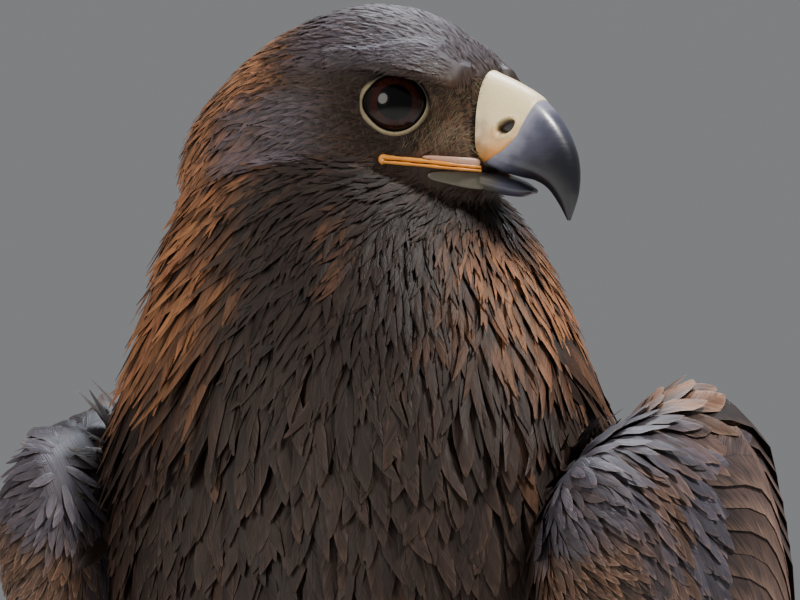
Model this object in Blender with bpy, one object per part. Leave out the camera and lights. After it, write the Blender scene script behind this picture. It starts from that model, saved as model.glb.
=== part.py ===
"""A golden eagle standing on its own feet, life size, with its head turned far to its left.

The bird faces -Y, its left is +X, and the floor is Z = 0. Tables are in millimetres, and everything
is placed in metres. Each fleshy piece is a body of rings between an upper and a lower rail. Feathers
are thin vanes that follow those bodies, and each is fused with the piece that it grows from.
"""

import math
from random import Random

import bmesh
import bpy
import numpy as np
from mathutils import Matrix, Vector
from mathutils.bvhtree import BVHTree

MM = 0.001
GAP = 0.3
SEED = 11

# Driving sizes of the bird, in millimetres.
EYE_HEIGHT = 585.0
HEAD_TURN_DEG = 82.0
EYE_MIDPOINT = (32.0, -48.0, EYE_HEIGHT)
EYE_RADIUS = 13.0
EYE_CENTRE = (19.4, -3.2, 0.0)
GAZE_FORWARD_DEG = 25.0
LID_RADIUS = 10.7
LID_THICKNESS = 1.3
TAIL_LENGTH = 292.0
TAIL_DROP_DEG = 33.5
TOE_SPREAD_DEG = (174.0, 28.0, -8.0, -50.0)
TOE_LENGTHS = (36.0, 42.0, 60.0, 45.0)
CLAW_RADII = (34.0, 30.0, 25.0, 21.0)
CLAW_SWEEP_DEG = 84.0
CLAW_TIP_HEIGHT = 1.0

# Rings of the body, from the tail coverts to the top of the neck:
# middle x, back rail y and z, front rail y and z, half width, squareness, waist.
BODY_ROWS = (
    (0, 270, 170, 256, 148, 30, 0.9, 0.0),
    (0, 242, 204, 220, 162, 37, 1.0, 0.0),
    (0, 213, 246, 172, 180, 46, 1.0, 0.0),
    (0, 186, 290, 124, 194, 60, 1.0, 0.0),
    (0, 156, 338, 74, 206, 74, 1.0, 0.0),
    (0, 122, 386, 22, 222, 85, 0.97, 0.0),
    (0, 86, 430, -34, 250, 91, 0.95, 0.0),
    (0, 54, 464, -76, 296, 92, 0.95, 0.0),
    (0, 30, 492, -100, 350, 92, 0.95, 0.0),
    (1, 14, 514, -109, 404, 90, 0.96, 0.0),
    (3, 6, 534, -108, 454, 83, 1.0, 0.0),
    (1, 0, 554, -102, 498, 72, 1.0, 0.0),
    (-6, -4, 574, -93, 538, 57, 1.0, 0.0),
    (-9, -10, 590, -84, 574, 43, 1.0, 0.0),
)
TAIL_JOIN = 1.6
NECK_BASE_HEIGHT = 490.0

# Rings of the head, from the feather edge at the bill to the back of the skull:
# forward and up of the crown rail, forward and up of the throat rail, half width, squareness, waist.
HEAD_ROWS = (
    (24.7, 12.0, 24.7, -31.5, 13.8, 0.90, -0.10),
    (20.0, 16.5, 21.0, -32.5, 19.5, 0.84, -0.05),
    (13.0, 24.0, 14.0, -34.5, 23.5, 0.80, -0.05),
    (3.0, 31.0, 5.0, -38.0, 27.0, 0.78, -0.10),
    (-9.0, 35.5, -6.0, -42.0, 31.0, 0.78, -0.10),
    (-22.0, 37.0, -18.0, -46.0, 34.5, 0.80, -0.10),
    (-36.0, 35.0, -31.0, -49.0, 37.0, 0.84, -0.10),
    (-53.0, 29.5, -47.0, -52.0, 38.5, 0.90, -0.05),
    (-69.0, 20.0, -63.0, -52.0, 38.0, 0.95, 0.0),
    (-84.0, 6.0, -79.0, -47.0, 32.0, 1.00, 0.0),
    (-93.0, -11.0, -90.0, -34.0, 18.0, 1.00, 0.0),
)
BROW_REAR = (-24.0, 11.0)
BROW_FRONT = (22.5, 4.0)
BROW_RISE = 4.0
BROW_REACH = 5.0
BROW_ABOVE = 9.0
BROW_BELOW = 3.6
BROW_PLATE = (7.5, 4.2)
SOCKET_DEPTH = 2.5
# The bent line that parts head from neck, seen from the side: nape, below the ear, under the chin.
HEAD_PARTING = ((-140.0, 74.0), (-27.0, -23.0), (140.0, -62.0))

# Rings of the upper bill: culmen rail, cutting-edge rail, half width, squareness, waist.
BILL_ROWS = (
    (25.0, 11.0, 25.0, -22.5, 13.5, 0.95, -0.45),
    (35.0, 6.5, 31.0, -24.5, 12.2, 0.90, -0.45),
    (44.5, 0.6, 37.0, -26.0, 10.2, 0.88, -0.45),
    (52.3, -8.6, 42.0, -27.2, 8.2, 0.88, -0.40),
    (57.2, -19.5, 46.5, -30.0, 5.9, 0.92, -0.20),
    (57.7, -30.5, 50.3, -35.2, 3.4, 1.00, 0.0),
    (54.6, -41.0, 53.4, -40.8, 0.6, 1.00, 0.0),
)
LOWER_BILL_ROWS = (
    (25.0, -23.6, 25.0, -31.0, 11.0, 0.80, 0.30),
    (31.0, -25.6, 31.0, -32.2, 9.4, 0.80, 0.30),
    (36.0, -27.4, 36.0, -32.6, 6.8, 0.85, 0.20),
    (40.5, -29.6, 40.5, -31.6, 2.4, 1.00, 0.0),
)
CERE_EDGE = ((48.0, 6.0), (44.0, 0.5), (41.5, -6.0), (39.0, -12.0), (34.0, -17.0), (28.0, -20.0), (22.0, -21.5))
NOSTRIL = (35.0, -8.5)
NOSTRIL_SIZE = (3.4, 2.5)
GAPE_LINE = ((-5.0, -19.6), (3.0, -20.4), (12.0, -21.4), (20.0, -22.4), (25.2, -23.0))
GAPE_THICKNESS = 1.7

# Rings of the left wing, from the wrist to the tip of the longest flight feather:
# upper rail x, y, z, lower rail x, y, z, half thickness.
WING_ROWS = (
    (98, -96, 446, 99, -97, 416, 8),
    (100, -88, 462, 102, -86, 396, 19),
    (101, -68, 471, 105, -66, 376, 25),
    (102, -28, 478, 109, -36, 352, 28),
    (101, 20, 485, 112, -6, 326, 28),
    (96, 66, 468, 111, 32, 294, 26),
    (86, 110, 429, 105, 74, 258, 21),
    (73, 154, 383, 96, 118, 224, 16),
    (59, 199, 334, 85, 165, 198, 11),
    (47, 245, 286, 73, 214, 176, 7),
    (38, 291, 239, 62, 266, 157, 5),
    (33, 335, 194, 52, 318, 137, 3),
    (30, 375, 152, 44, 366, 116, 2),
)
WING_OUTWARD = (0.94, -0.05, 0.34)
WING_CORE_END = 8.3

# Rings of the left leg: x, front rail y and z, back rail y and z, half width.
THIGH_ROWS = (
    (48, 14, 292, 92, 282, 32),
    (55, 0, 254, 98, 248, 41),
    (58, 2, 214, 100, 208, 42),
    (57, 12, 178, 96, 174, 37),
    (55, 22, 146, 88, 144, 29),
    (54, 31, 116, 77, 118, 18),
)
TARSUS_ROWS = (
    (54, 36, 134, 74, 134, 14.5),
    (54, 35, 104, 71, 106, 14.5),
    (54, 32, 76, 62, 78, 13),
    (54, 28, 50, 55, 50, 13),
    (54, 25, 28, 53, 28, 14),
    (54, 26, 17, 52, 17, 13),
)
FOOT_CENTRE = (54.0, 38.0)
FOOT_RADIUS = 16.0
FOOT_HEIGHT = 15.0

# Colours of the finishes: red, green, blue, roughness.
FINISHES = {
    "dark_feather": (0.060, 0.038, 0.028, 0.75),
    "breast_feather": (0.042, 0.026, 0.020, 0.80),
    "hackle_feather": (0.330, 0.170, 0.080, 0.70),
    "wing_feather": (0.110, 0.080, 0.066, 0.65),
    "leg_feather": (0.150, 0.100, 0.070, 0.80),
    "cere_skin": (0.740, 0.560, 0.240, 0.45),
    "bill_horn": (0.060, 0.065, 0.085, 0.25),
    "toe_skin": (0.720, 0.500, 0.130, 0.50),
    "claw_horn": (0.020, 0.020, 0.022, 0.20),
    "eye_cornea": (0.060, 0.022, 0.012, 0.03),
}


def clear_scene():
    for old in list(bpy.data.objects):
        bpy.data.objects.remove(old)


def new_collection(name):
    made = bpy.data.collections.new(name)
    bpy.context.scene.collection.children.link(made)
    return made


def finish_material(slot):
    """The Principled material of a named finish."""
    found = bpy.data.materials.get(slot)
    if found:
        return found
    red, green, blue, roughness = FINISHES[slot]
    made = bpy.data.materials.new(slot)
    made.use_nodes = True
    shader = made.node_tree.nodes["Principled BSDF"]
    shader.inputs["Base Color"].default_value = (red, green, blue, 1.0)
    shader.inputs["Roughness"].default_value = roughness
    shader.inputs["Metallic"].default_value = 0.0
    return made


def smooth_row(rows, place):
    """The row at a place along a table, on a Catmull-Rom curve through its rows."""
    last = len(rows) - 1
    index = min(max(int(math.floor(place)), 0), last - 1)
    t = place - index
    before, here, there, after = (rows[min(max(index + k, 0), last)] for k in (-1, 0, 1, 2))
    return 0.5 * (
        2 * here
        + (there - before) * t
        + (2 * before - 5 * here + 4 * there - after) * t * t
        + (3 * here - before - 3 * there + after) * t ** 3
    )


def eased(value, low, high):
    """0 below low, 1 above high, and smooth between them."""
    t = min(max((value - low) / (high - low), 0.0), 1.0)
    return t * t * (3 - 2 * t)


def powered(value, power):
    return math.copysign(abs(value) ** power, value)


class Loft:
    """A body of rings. A row holds a ring's upper point, lower point, half width, squareness and waist.

    Squareness under 1 makes a ring boxier. Waist says how far its widest place lies from its middle,
    from -1 at the lower rail to 1 at the upper one.
    """

    def __init__(self, rows, side, place=None, mirrored=False, shape=None):
        self.rows = np.array(rows, float)
        self.side = np.array(Vector(side).normalized())
        self.place = place if place is not None else Matrix.Identity(4)
        self.mirrored = mirrored
        self.shape = shape

    def bare(self, u, v, fatness=1.0, height=1.0):
        row = smooth_row(self.rows, u)
        upper, lower, half, square, waist = row[0:3], row[3:6], row[6], row[7], row[8]
        middle, reach = (upper + lower) / 2, (upper - lower) / 2 * height
        angle = math.tau * v
        across = powered(math.sin(angle), square)
        along = powered(math.cos(angle), square)
        rise = waist + (1 - waist if along > 0 else 1 + waist) * along
        point = middle + reach * rise + self.side * half * fatness * across
        return self.shape(point) if self.shape else point

    def outward(self, u, v):
        step_u, step_v = 0.02, 0.004
        along = self.bare(u + step_u, v) - self.bare(u - step_u, v)
        around = self.bare(u, v + step_v) - self.bare(u, v - step_v)
        normal = Vector(np.cross(along, around)).normalized()
        row = smooth_row(self.rows, u)
        middle = (row[0:3] + row[3:6]) / 2
        if normal.dot(Vector(self.bare(u, v) - middle)) < 0:
            normal = -normal
        return normal

    def placed(self, point):
        point = Vector(point)
        if self.mirrored:
            point.x = -point.x
        return (self.place @ point) * MM

    def point(self, u, v, lift=0.0):
        """The point at ring place u and turn v: 0 on the upper rail, 0.25 on the side's own side."""
        point = Vector(self.bare(u, v))
        if lift:
            point = point + self.outward(u, v) * lift
        return self.placed(point)

    def rings(self, start, end, count, around, grow=0.0, taper=None):
        made = []
        for k in range(count):
            u = start + (end - start) * k / (count - 1)
            slim = taper(u) if taper else 1.0
            row = smooth_row(self.rows, u)
            fatness = slim * (row[6] + grow) / row[6]
            tall = np.linalg.norm(row[0:3] - row[3:6]) / 2
            height = (1 - (1 - slim) * 0.35) * (tall + grow) / tall
            made.append([self.placed(self.bare(u, j / around, fatness, height)) for j in range(around)])
        return made


def mesh_object(name, points, faces, collection):
    mesh = bpy.data.meshes.new(name)
    mesh.from_pydata([tuple(p) for p in points], [], faces)
    shell = bmesh.new()
    shell.from_mesh(mesh)
    bmesh.ops.recalc_face_normals(shell, faces=shell.faces)
    if shell.calc_volume(signed=True) < 0:
        bmesh.ops.reverse_faces(shell, faces=shell.faces)
    shell.to_mesh(mesh)
    shell.free()
    made = bpy.data.objects.new(name, mesh)
    collection.objects.link(made)
    return made


def ringed_object(name, rings, collection):
    """A closed body through rings of points, with flat ends."""
    around = len(rings[0])
    points = [p for ring in rings for p in ring]
    faces = []
    for i in range(len(rings) - 1):
        for j in range(around):
            a, b = i * around + j, i * around + (j + 1) % around
            faces.append((a, b, b + around, a + around))
    for base, turn in ((0, -1), ((len(rings) - 1) * around, 1)):
        middle = len(points)
        ring = points[base : base + around]
        points.append(sum(ring, Vector()) / around)
        for j in range(around):
            corners = (base + j, base + (j + 1) % around, middle)
            faces.append(corners[::turn])
    return mesh_object(name, points, faces, collection)


def vane_object(name, spine, across, upward, widths, thickness, collection):
    """A thin feather plate along a spine of points, cut into the same triangles on both its faces."""
    points = []
    for point, side, rise, width in zip(spine, across, upward, widths):
        half, thin = side * width * MM / 2, rise * thickness * MM / 2
        points += [point - half - thin, point + half - thin, point + half + thin, point - half + thin]
    faces = [(0, 1, 2, 3)]
    for k in range(0, len(points) - 4, 4):
        a, b, c, d = k, k + 1, k + 2, k + 3
        faces += [(a, b, b + 4), (a, b + 4, a + 4), (d, c, c + 4), (d, c + 4, d + 4)]
        faces += [(b, c, c + 4, b + 4), (a, d, d + 4, a + 4)]
    end = len(points) - 4
    faces.append((end, end + 1, end + 2, end + 3))
    return mesh_object(name, points, faces, collection)


def lance_object(name, spine, across, upward, widths, thickness, collection):
    """A narrow pointed feather with a raised middle, three-sided in section."""
    points = []
    last = len(spine) - 1
    for k, (point, side, rise, width) in enumerate(zip(spine, across, upward, widths)):
        half = side * width * MM / 2
        crest = rise * thickness * MM * (1.0 if k < last else 0.5)
        points += [point - half, point + half, point + crest]
    faces = [(0, 1, 2), (3 * last, 3 * last + 1, 3 * last + 2)]
    for k in range(0, 3 * last, 3):
        for i, j in ((0, 1), (1, 2), (2, 0)):
            faces.append((k + i, k + j, k + j + 3, k + i + 3))
    return mesh_object(name, points, faces, collection)


def evaluated_mesh(source):
    bpy.context.view_layer.update()
    graph = bpy.context.evaluated_depsgraph_get()
    return bpy.data.meshes.new_from_object(source.evaluated_get(graph))


def combine(target, tools, operation, solver="EXACT"):
    """Applies one Boolean of target with all the tools, and removes the tools."""
    group = bpy.data.collections.new("tools")
    bpy.context.scene.collection.children.link(group)
    for tool in tools:
        for owner in list(tool.users_collection):
            owner.objects.unlink(tool)
        group.objects.link(tool)
    change = target.modifiers.new("combine", "BOOLEAN")
    change.operation = operation
    change.solver = solver
    change.operand_type = "COLLECTION"
    change.collection = group
    result = evaluated_mesh(target)
    target.modifiers.clear()
    target.data = result
    for tool in tools:
        bpy.data.objects.remove(tool)
    bpy.data.collections.remove(group)
    return target


def drop_fins(shell):
    """Removes pairs of faces that lie on one another."""
    pairs = {}
    for face in shell.faces:
        pairs.setdefault(frozenset(face.verts), []).append(face)
    fins = [face for pair in pairs.values() if len(pair) > 1 for face in pair]
    bmesh.ops.delete(shell, geom=fins, context="FACES")


def keep_largest(target):
    """Leaves only the largest closed surface of a mesh."""
    shell = bmesh.new()
    shell.from_mesh(target.data)
    bmesh.ops.remove_doubles(shell, verts=shell.verts, dist=0.0005 * MM)
    bmesh.ops.dissolve_degenerate(shell, edges=shell.edges, dist=0.0005 * MM)
    bmesh.ops.triangulate(shell, faces=shell.faces)
    drop_fins(shell)
    left, groups = set(shell.faces), []
    while left:
        found, stack = set(), [left.pop()]
        while stack:
            face = stack.pop()
            found.add(face)
            for edge in face.edges:
                for other in edge.link_faces:
                    if other in left:
                        left.discard(other)
                        stack.append(other)
        groups.append(found)

    def volume(faces):
        total = 0.0
        for face in faces:
            a, b, c = (v.co for v in face.verts)
            total += a.dot(b.cross(c)) / 6
        return abs(total)

    groups.sort(key=volume)
    for group in groups[:-1]:
        bmesh.ops.delete(shell, geom=list(group), context="FACES")
    loose = [v for v in shell.verts if not v.link_faces]
    bmesh.ops.delete(shell, geom=loose, context="VERTS")
    shell.to_mesh(target.data)
    shell.free()
    return target


def dress(target, slot):
    """Gives a finished piece its material and smooth shading."""
    target.data.materials.clear()
    target.data.materials.append(finish_material(slot))
    target.data.shade_smooth()
    target.data.set_sharp_from_angle(angle=math.radians(38))
    return target


def box_object(name, low, high, collection):
    """A box between two corners given in millimetres."""
    low, high = Vector(low) * MM, Vector(high) * MM
    shell = bmesh.new()
    size = high - low
    bmesh.ops.create_cube(shell, size=1.0, matrix=Matrix.LocRotScale((low + high) / 2, None, size))
    mesh = bpy.data.meshes.new(name)
    shell.to_mesh(mesh)
    shell.free()
    made = bpy.data.objects.new(name, mesh)
    collection.objects.link(made)
    return made


def ball_object(name, centre, radii, turn, collection, around=24, rows=14):
    """An ellipsoid. centre and radii are in millimetres, and turn is its rotation."""
    shell = bmesh.new()
    matrix = Matrix.LocRotScale(Vector(centre) * MM, turn, Vector(radii) * MM)
    bmesh.ops.create_uvsphere(shell, u_segments=around, v_segments=rows, radius=1.0, matrix=matrix)
    mesh = bpy.data.meshes.new(name)
    shell.to_mesh(mesh)
    shell.free()
    made = bpy.data.objects.new(name, mesh)
    collection.objects.link(made)
    return made


def prism_object(name, outline, half_width, place, collection):
    """A flat outline of forward and up places in the head's middle plane, as thick as two half widths."""
    rings = []
    for side in (-half_width, half_width):
        rings.append([(place @ Vector((side, -forward, up))) * MM for forward, up in outline])
    return ringed_object(name, rings, collection)


HEAD_PLACE = Matrix.Translation(EYE_MIDPOINT) @ Matrix.Rotation(math.radians(HEAD_TURN_DEG), 4, "Z")


def brow_line(share):
    """The place of the brow's lower edge seen from the side, from its rear end at 0 to its front at 1."""
    forward = BROW_REAR[0] + (BROW_FRONT[0] - BROW_REAR[0]) * share
    up = BROW_REAR[1] + (BROW_FRONT[1] - BROW_REAR[1]) * share + BROW_RISE * math.sin(math.pi * share)
    return forward, up


def head_form(point):
    """Raises the brow ridges of a head ring's point and sinks the eye sockets and lores."""
    side, forward, up = point[0], -point[1], point[2]
    share = min(max((forward - BROW_REAR[0]) / (BROW_FRONT[0] - BROW_REAR[0]), 0.0), 1.0)
    brow_up = brow_line(share)[1] + 2.0
    ends = eased(forward, BROW_REAR[0] - 8, BROW_REAR[0] + 8) * (1 - eased(forward, BROW_FRONT[0] - 4, BROW_FRONT[0] + 2))
    on_side = eased(abs(side), 6.0, 18.0)
    breadth = BROW_ABOVE if up > brow_up else BROW_BELOW
    ridge = BROW_REACH * math.exp(-(((up - brow_up) / breadth) ** 2)) * ends * on_side
    away = math.hypot(forward - EYE_CENTRE[1] - 4, up - EYE_CENTRE[2] + 2)
    hollow = SOCKET_DEPTH * math.exp(-((away / 11.0) ** 2)) * on_side
    lores = 5.0 * math.exp(-(((forward - 18) / 8.0) ** 2) - (((up + 6) / 9.0) ** 2)) * eased(abs(side), 6, 12)
    moved = abs(side) + ridge - hollow - lores
    return np.array((math.copysign(moved, side), point[1], point[2]))


def head_rows(rows):
    """Rows of a piece of the head, with rails in its middle plane."""
    return [(0, -top[0], top[1], 0, -top[2], top[3], *top[4:]) for top in rows]


def body_rows():
    return [(r[0], r[1], r[2], r[0], r[3], r[4], *r[5:]) for r in BODY_ROWS]


def leg_rows(rows):
    return [(r[0], r[1], r[2], r[0], r[3], r[4], r[5], 1.0, 0.0) for r in rows]


def wing_rows():
    return [(*r, 1.0, 0.0) for r in WING_ROWS]


BODY = Loft(body_rows(), (1, 0, 0))
HEAD = Loft(head_rows(HEAD_ROWS), (1, 0, 0), place=HEAD_PLACE, shape=head_form)
UPPER_BILL = Loft(head_rows(BILL_ROWS), (1, 0, 0), place=HEAD_PLACE)
LOWER_BILL = Loft(head_rows(LOWER_BILL_ROWS), (1, 0, 0), place=HEAD_PLACE)


def eye_turn(sign):
    """The rotation that takes +Z to where an eye looks, in the head's own axes."""
    angle = math.radians(GAZE_FORWARD_DEG)
    gaze = Vector((sign * math.cos(angle), -math.sin(angle), 0.0))
    return gaze.to_track_quat("Z", "Y")


def head_ball(name, centre, radii, turn, collection, **counts):
    """An ellipsoid placed in the head's own axes."""
    made = ball_object(name, centre, radii, turn, collection, **counts)
    made.data.transform(Matrix.Scale(1 / MM, 4))
    made.data.transform(HEAD_PLACE)
    made.data.transform(Matrix.Scale(MM, 4))
    return made


def lid_ring(name, sign, collection):
    """The bare ring round an eye, where the eyeball leaves the head."""
    turn = eye_turn(sign)
    centre = Vector((sign * EYE_CENTRE[0], -EYE_CENTRE[1], EYE_CENTRE[2]))
    depth = math.sqrt(EYE_RADIUS ** 2 - LID_RADIUS ** 2)
    rings = []
    steps, around = 20, 6
    for k in range(steps):
        angle = math.tau * k / steps
        spoke = Vector((math.cos(angle), math.sin(angle), 0))
        ring = []
        for j in range(around):
            turned = math.tau * j / around
            local = spoke * (LID_RADIUS + LID_THICKNESS * math.cos(turned))
            local.z = depth + LID_THICKNESS * math.sin(turned)
            ring.append((HEAD_PLACE @ (centre + turn @ local)) * MM)
        rings.append(ring)
    points = [p for ring in rings for p in ring]
    faces = []
    for k in range(steps):
        for j in range(around):
            a, b = k * around + j, k * around + (j + 1) % around
            c, d = (k + 1) % steps * around + (j + 1) % around, (k + 1) % steps * around + j
            faces.append((a, b, c, d))
    return mesh_object(name, points, faces, collection)


def head_half_width(forward, up):
    """How far the head's surface lies from its middle plane at a place seen from the side."""
    best, found = 1e9, 0.0
    for i in range(0, 81):
        for j in range(1, 48):
            side, back, high = HEAD.bare(i / 10, j / 96)
            miss = math.hypot(-back - forward, high - up)
            if miss < best:
                best, found = miss, side
    return found


def brow_plate(name, sign, collection, steps=8):
    """The bony shelf over an eye: a bar with a thin lower edge that juts out over the lids."""
    rings = []
    for k in range(steps):
        share = k / (steps - 1)
        forward, up = brow_line(share)
        swell = math.sin(math.pi * min(max(share * 0.9 + 0.05, 0), 1)) ** 0.6
        rise, reach = BROW_PLATE[0] * (0.35 + 0.65 * swell), BROW_PLATE[1] * swell
        under, over = head_half_width(forward, up), head_half_width(forward, up + rise)
        edge = min(under + reach, over + reach + 1.0)
        corners = (
            (under - 5, up + 0.8),
            (edge, up),
            (edge + 0.3, up + 1.4),
            (over + 0.45 * reach, up + rise * 0.6),
            (over - 2, up + rise),
        )
        rings.append([(HEAD_PLACE @ Vector((sign * side, -forward, high))) * MM for side, high in corners])
    return ringed_object(name, rings, collection)


def gape_path():
    return [np.array((head_half_width(f, z) - 0.4, f, z)) for f, z in GAPE_LINE]


def gape_flange(name, sign, thickness, collection, overrun=0.0):
    """The fleshy yellow edge of the upper jaw, from the mouth's corner to the bill."""
    path = gape_path()
    last = len(path) - 1
    rings = []
    steps, around = 8, 6
    for k in range(steps):
        t = k / (steps - 1)
        place = smooth_row(path, (t * (1 + 2 * overrun) - overrun) * last)
        ahead = smooth_row(path, t * last + 0.2) - smooth_row(path, t * last - 0.2)
        fat = thickness * (0.55 + 0.45 * eased(t, 0.0, 0.25))
        heading = Vector((sign * ahead[0], -ahead[1], ahead[2])).normalized()
        out = heading.cross(Vector((0, 0, 1))).normalized()
        if out.x * sign < 0:
            out = -out
        rise = out.cross(heading).normalized()
        middle = Vector((sign * place[0], -place[1], place[2]))
        ring = []
        for j in range(around):
            angle = math.tau * j / around
            local = middle + out * fat * 1.1 * math.cos(angle) + rise * fat * math.sin(angle)
            ring.append((HEAD_PLACE @ local) * MM)
        rings.append(ring)
    return ringed_object(name, rings, collection)


def head_region(name, grow, collection):
    """All that belongs to the head, above the parting line, widened or narrowed by a little."""
    bent = [(forward, up - grow) for forward, up in HEAD_PARTING]
    outline = [(HEAD_PARTING[0][0], 140), (HEAD_PARTING[-1][0], 140), *bent[::-1]]
    return prism_object(name, outline, 160, HEAD_PLACE, collection)


def level_box(name, height, above, collection):
    """All that lies above, or below, a height, with half the gap between pieces."""
    reach = 400
    low = height + GAP / 2 if not above else height - GAP / 2
    if above:
        return box_object(name, (-reach, -reach, low), (reach, reach, low + reach), collection)
    return box_object(name, (-reach, -reach, low - reach), (reach, reach, low), collection)


def soften_creases(target, highest, reach):
    """Smooths the hollow creases of a mesh that lie below a height, and what lies near them."""
    shell = bmesh.new()
    shell.from_mesh(target.data)
    bmesh.ops.triangulate(shell, faces=shell.faces)
    hollow = []
    for edge in shell.edges:
        if edge.calc_face_angle_signed(0) < -0.12 and edge.verts[0].co.z < highest * MM:
            hollow.append((edge.verts[0].co + edge.verts[1].co) / 2)
    near = [v for v in shell.verts if any((v.co - spot).length < reach * MM for spot in hollow)]
    for _ in range(6):
        bmesh.ops.smooth_vert(shell, verts=near, factor=0.5, use_axis_x=True, use_axis_y=True, use_axis_z=True)
    shell.to_mesh(target.data)
    shell.free()


def surface_tree(source):
    """The surface of a piece in millimetres, for laying feathers on."""
    points = [v.co / MM for v in source.data.vertices]
    return BVHTree.FromPolygons(points, [tuple(p.vertices) for p in source.data.polygons])


def laid_spine(tree, start, heading, length, lifts):
    """Points a little above a surface, stepping over it from a start along a heading."""
    step = length / (len(lifts) - 1)
    spot, spine, upward, across = Vector(start), [], [], []
    for lift in lifts:
        near, normal = tree.find_nearest(spot)[:2]
        heading = (heading - normal * heading.dot(normal)).normalized()
        spine.append((near + normal * lift) * MM)
        upward.append(normal)
        across.append(heading.cross(normal).normalized())
        spot = near + heading * step
    return spine, across, upward


def upper_flesh(collection):
    """Head, neck and shoulders in one piece."""
    head = ringed_object("flesh", HEAD.rings(0, 10, 21, 32), collection)
    column = ringed_object("column", BODY.rings(6, 12.6, 12, 24), collection)
    flesh = keep_largest(combine(head, [column], "UNION"))
    soften_creases(flesh, EYE_HEIGHT - 18, 14)
    return flesh


def copy_of(source, name, collection):
    made = bpy.data.objects.new(name, source.data.copy())
    collection.objects.link(made)
    return made


def make_head(flesh, parts, tools):
    head = copy_of(flesh, "head", parts)
    raised = [lid_ring("lid", sign, tools) for sign in (1, -1)]
    raised += [brow_plate("brow", sign, tools) for sign in (1, -1)]
    head = combine(head, raised, "UNION")
    head = combine(head, [head_region("above", -GAP / 2, tools)], "INTERSECT")
    cutters = []
    for sign in (1, -1):
        centre = (sign * EYE_CENTRE[0], -EYE_CENTRE[1], EYE_CENTRE[2])
        grown = [EYE_RADIUS + GAP] * 3
        cutters.append(head_ball("socket", centre, grown, eye_turn(sign), tools, around=16, rows=8))
        cutters.append(gape_flange("groove", sign, GAPE_THICKNESS + 1.4 * GAP, tools, overrun=0.03))
    head = combine(head, cutters, "DIFFERENCE")
    dress(keep_largest(head), "dark_feather")
    for side, sign in (("left", 1), ("right", -1)):
        centre = (sign * EYE_CENTRE[0], -EYE_CENTRE[1], EYE_CENTRE[2])
        eye = head_ball(f"eye_{side}", centre, [EYE_RADIUS] * 3, eye_turn(sign), parts, around=16, rows=8)
        dress(eye, "eye_cornea")
        flange = gape_flange(f"gape_{side}", sign, GAPE_THICKNESS, parts)
        trims = [box_ahead_of_head("ahead", 24.7 - GAP, tools)]
        dress(keep_largest(combine(flange, trims, "DIFFERENCE")), "cere_skin")


def box_ahead_of_head(name, forward, collection):
    """All that lies ahead of a place along the head."""
    made = box_object(name, (-60, -140, -80), (60, -forward, 80), collection)
    made.data.transform(Matrix.Scale(1 / MM, 4))
    made.data.transform(HEAD_PLACE)
    made.data.transform(Matrix.Scale(MM, 4))
    return made


def cere_outline(shift):
    """The outline of the cere seen from the side, with its front edge moved forward by shift."""
    front = [(forward + shift, up - shift) for forward, up in CERE_EDGE]
    return [(10, 40), (48 + shift, 40), *front, (10, -21.5 - shift)]


def make_bill(parts, tools):
    """The horny upper bill, its waxy cere with nostrils, and the lower bill."""
    horn = ringed_object("bill_upper", UPPER_BILL.rings(0, 6, 13, 14), parts)
    horn = combine(horn, [prism_object("behind", cere_outline(GAP / 2), 40, HEAD_PLACE, tools)], "DIFFERENCE")
    dress(keep_largest(horn), "bill_horn")
    cere = ringed_object("cere", UPPER_BILL.rings(0.0, 4, 9, 14), parts)
    cere = combine(cere, [prism_object("within", cere_outline(-GAP / 2), 40, HEAD_PLACE, tools)], "INTERSECT")
    holes = []
    for sign in (1, -1):
        centre = (sign * 11.4, -NOSTRIL[0], NOSTRIL[1])
        turn = Matrix.Rotation(math.radians(-35), 3, "X").to_quaternion()
        radii = (2.6, NOSTRIL_SIZE[0], NOSTRIL_SIZE[1])
        holes.append(head_ball("nostril", centre, radii, turn, tools, around=10, rows=6))
    dress(keep_largest(combine(cere, holes, "DIFFERENCE")), "cere_skin")
    lower = ringed_object("bill_lower", LOWER_BILL.rings(0, 3, 7, 12), parts)
    dress(lower, "bill_horn")


# Rows of hackles: height, least and greatest turn from the back to the bird's right, count, length, width.
HACKLE_ROWS = (
    (597, 34, 128, 6, 38, 14),
    (582, 14, 140, 8, 42, 16),
    (566, -8, 146, 10, 46, 16),
    (550, -84, 148, 13, 50, 18),
    (534, -118, 150, 14, 54, 20),
    (517, -136, 100, 12, 60, 22),
)
HACKLE_WIDTHS = (0.6, 1.0, 0.85, 0.08)


def above_parting(spot):
    """How far a place in the head's own axes lies above the line between head and neck."""
    forward = -spot.y
    rear, bend, front = HEAD_PARTING
    first, last = (rear, bend) if forward < bend[0] else (bend, front)
    slope = (last[1] - first[1]) / (last[0] - first[0])
    return (spot.z - bend[1] - slope * (forward - bend[0])) / math.hypot(1, slope)


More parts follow.
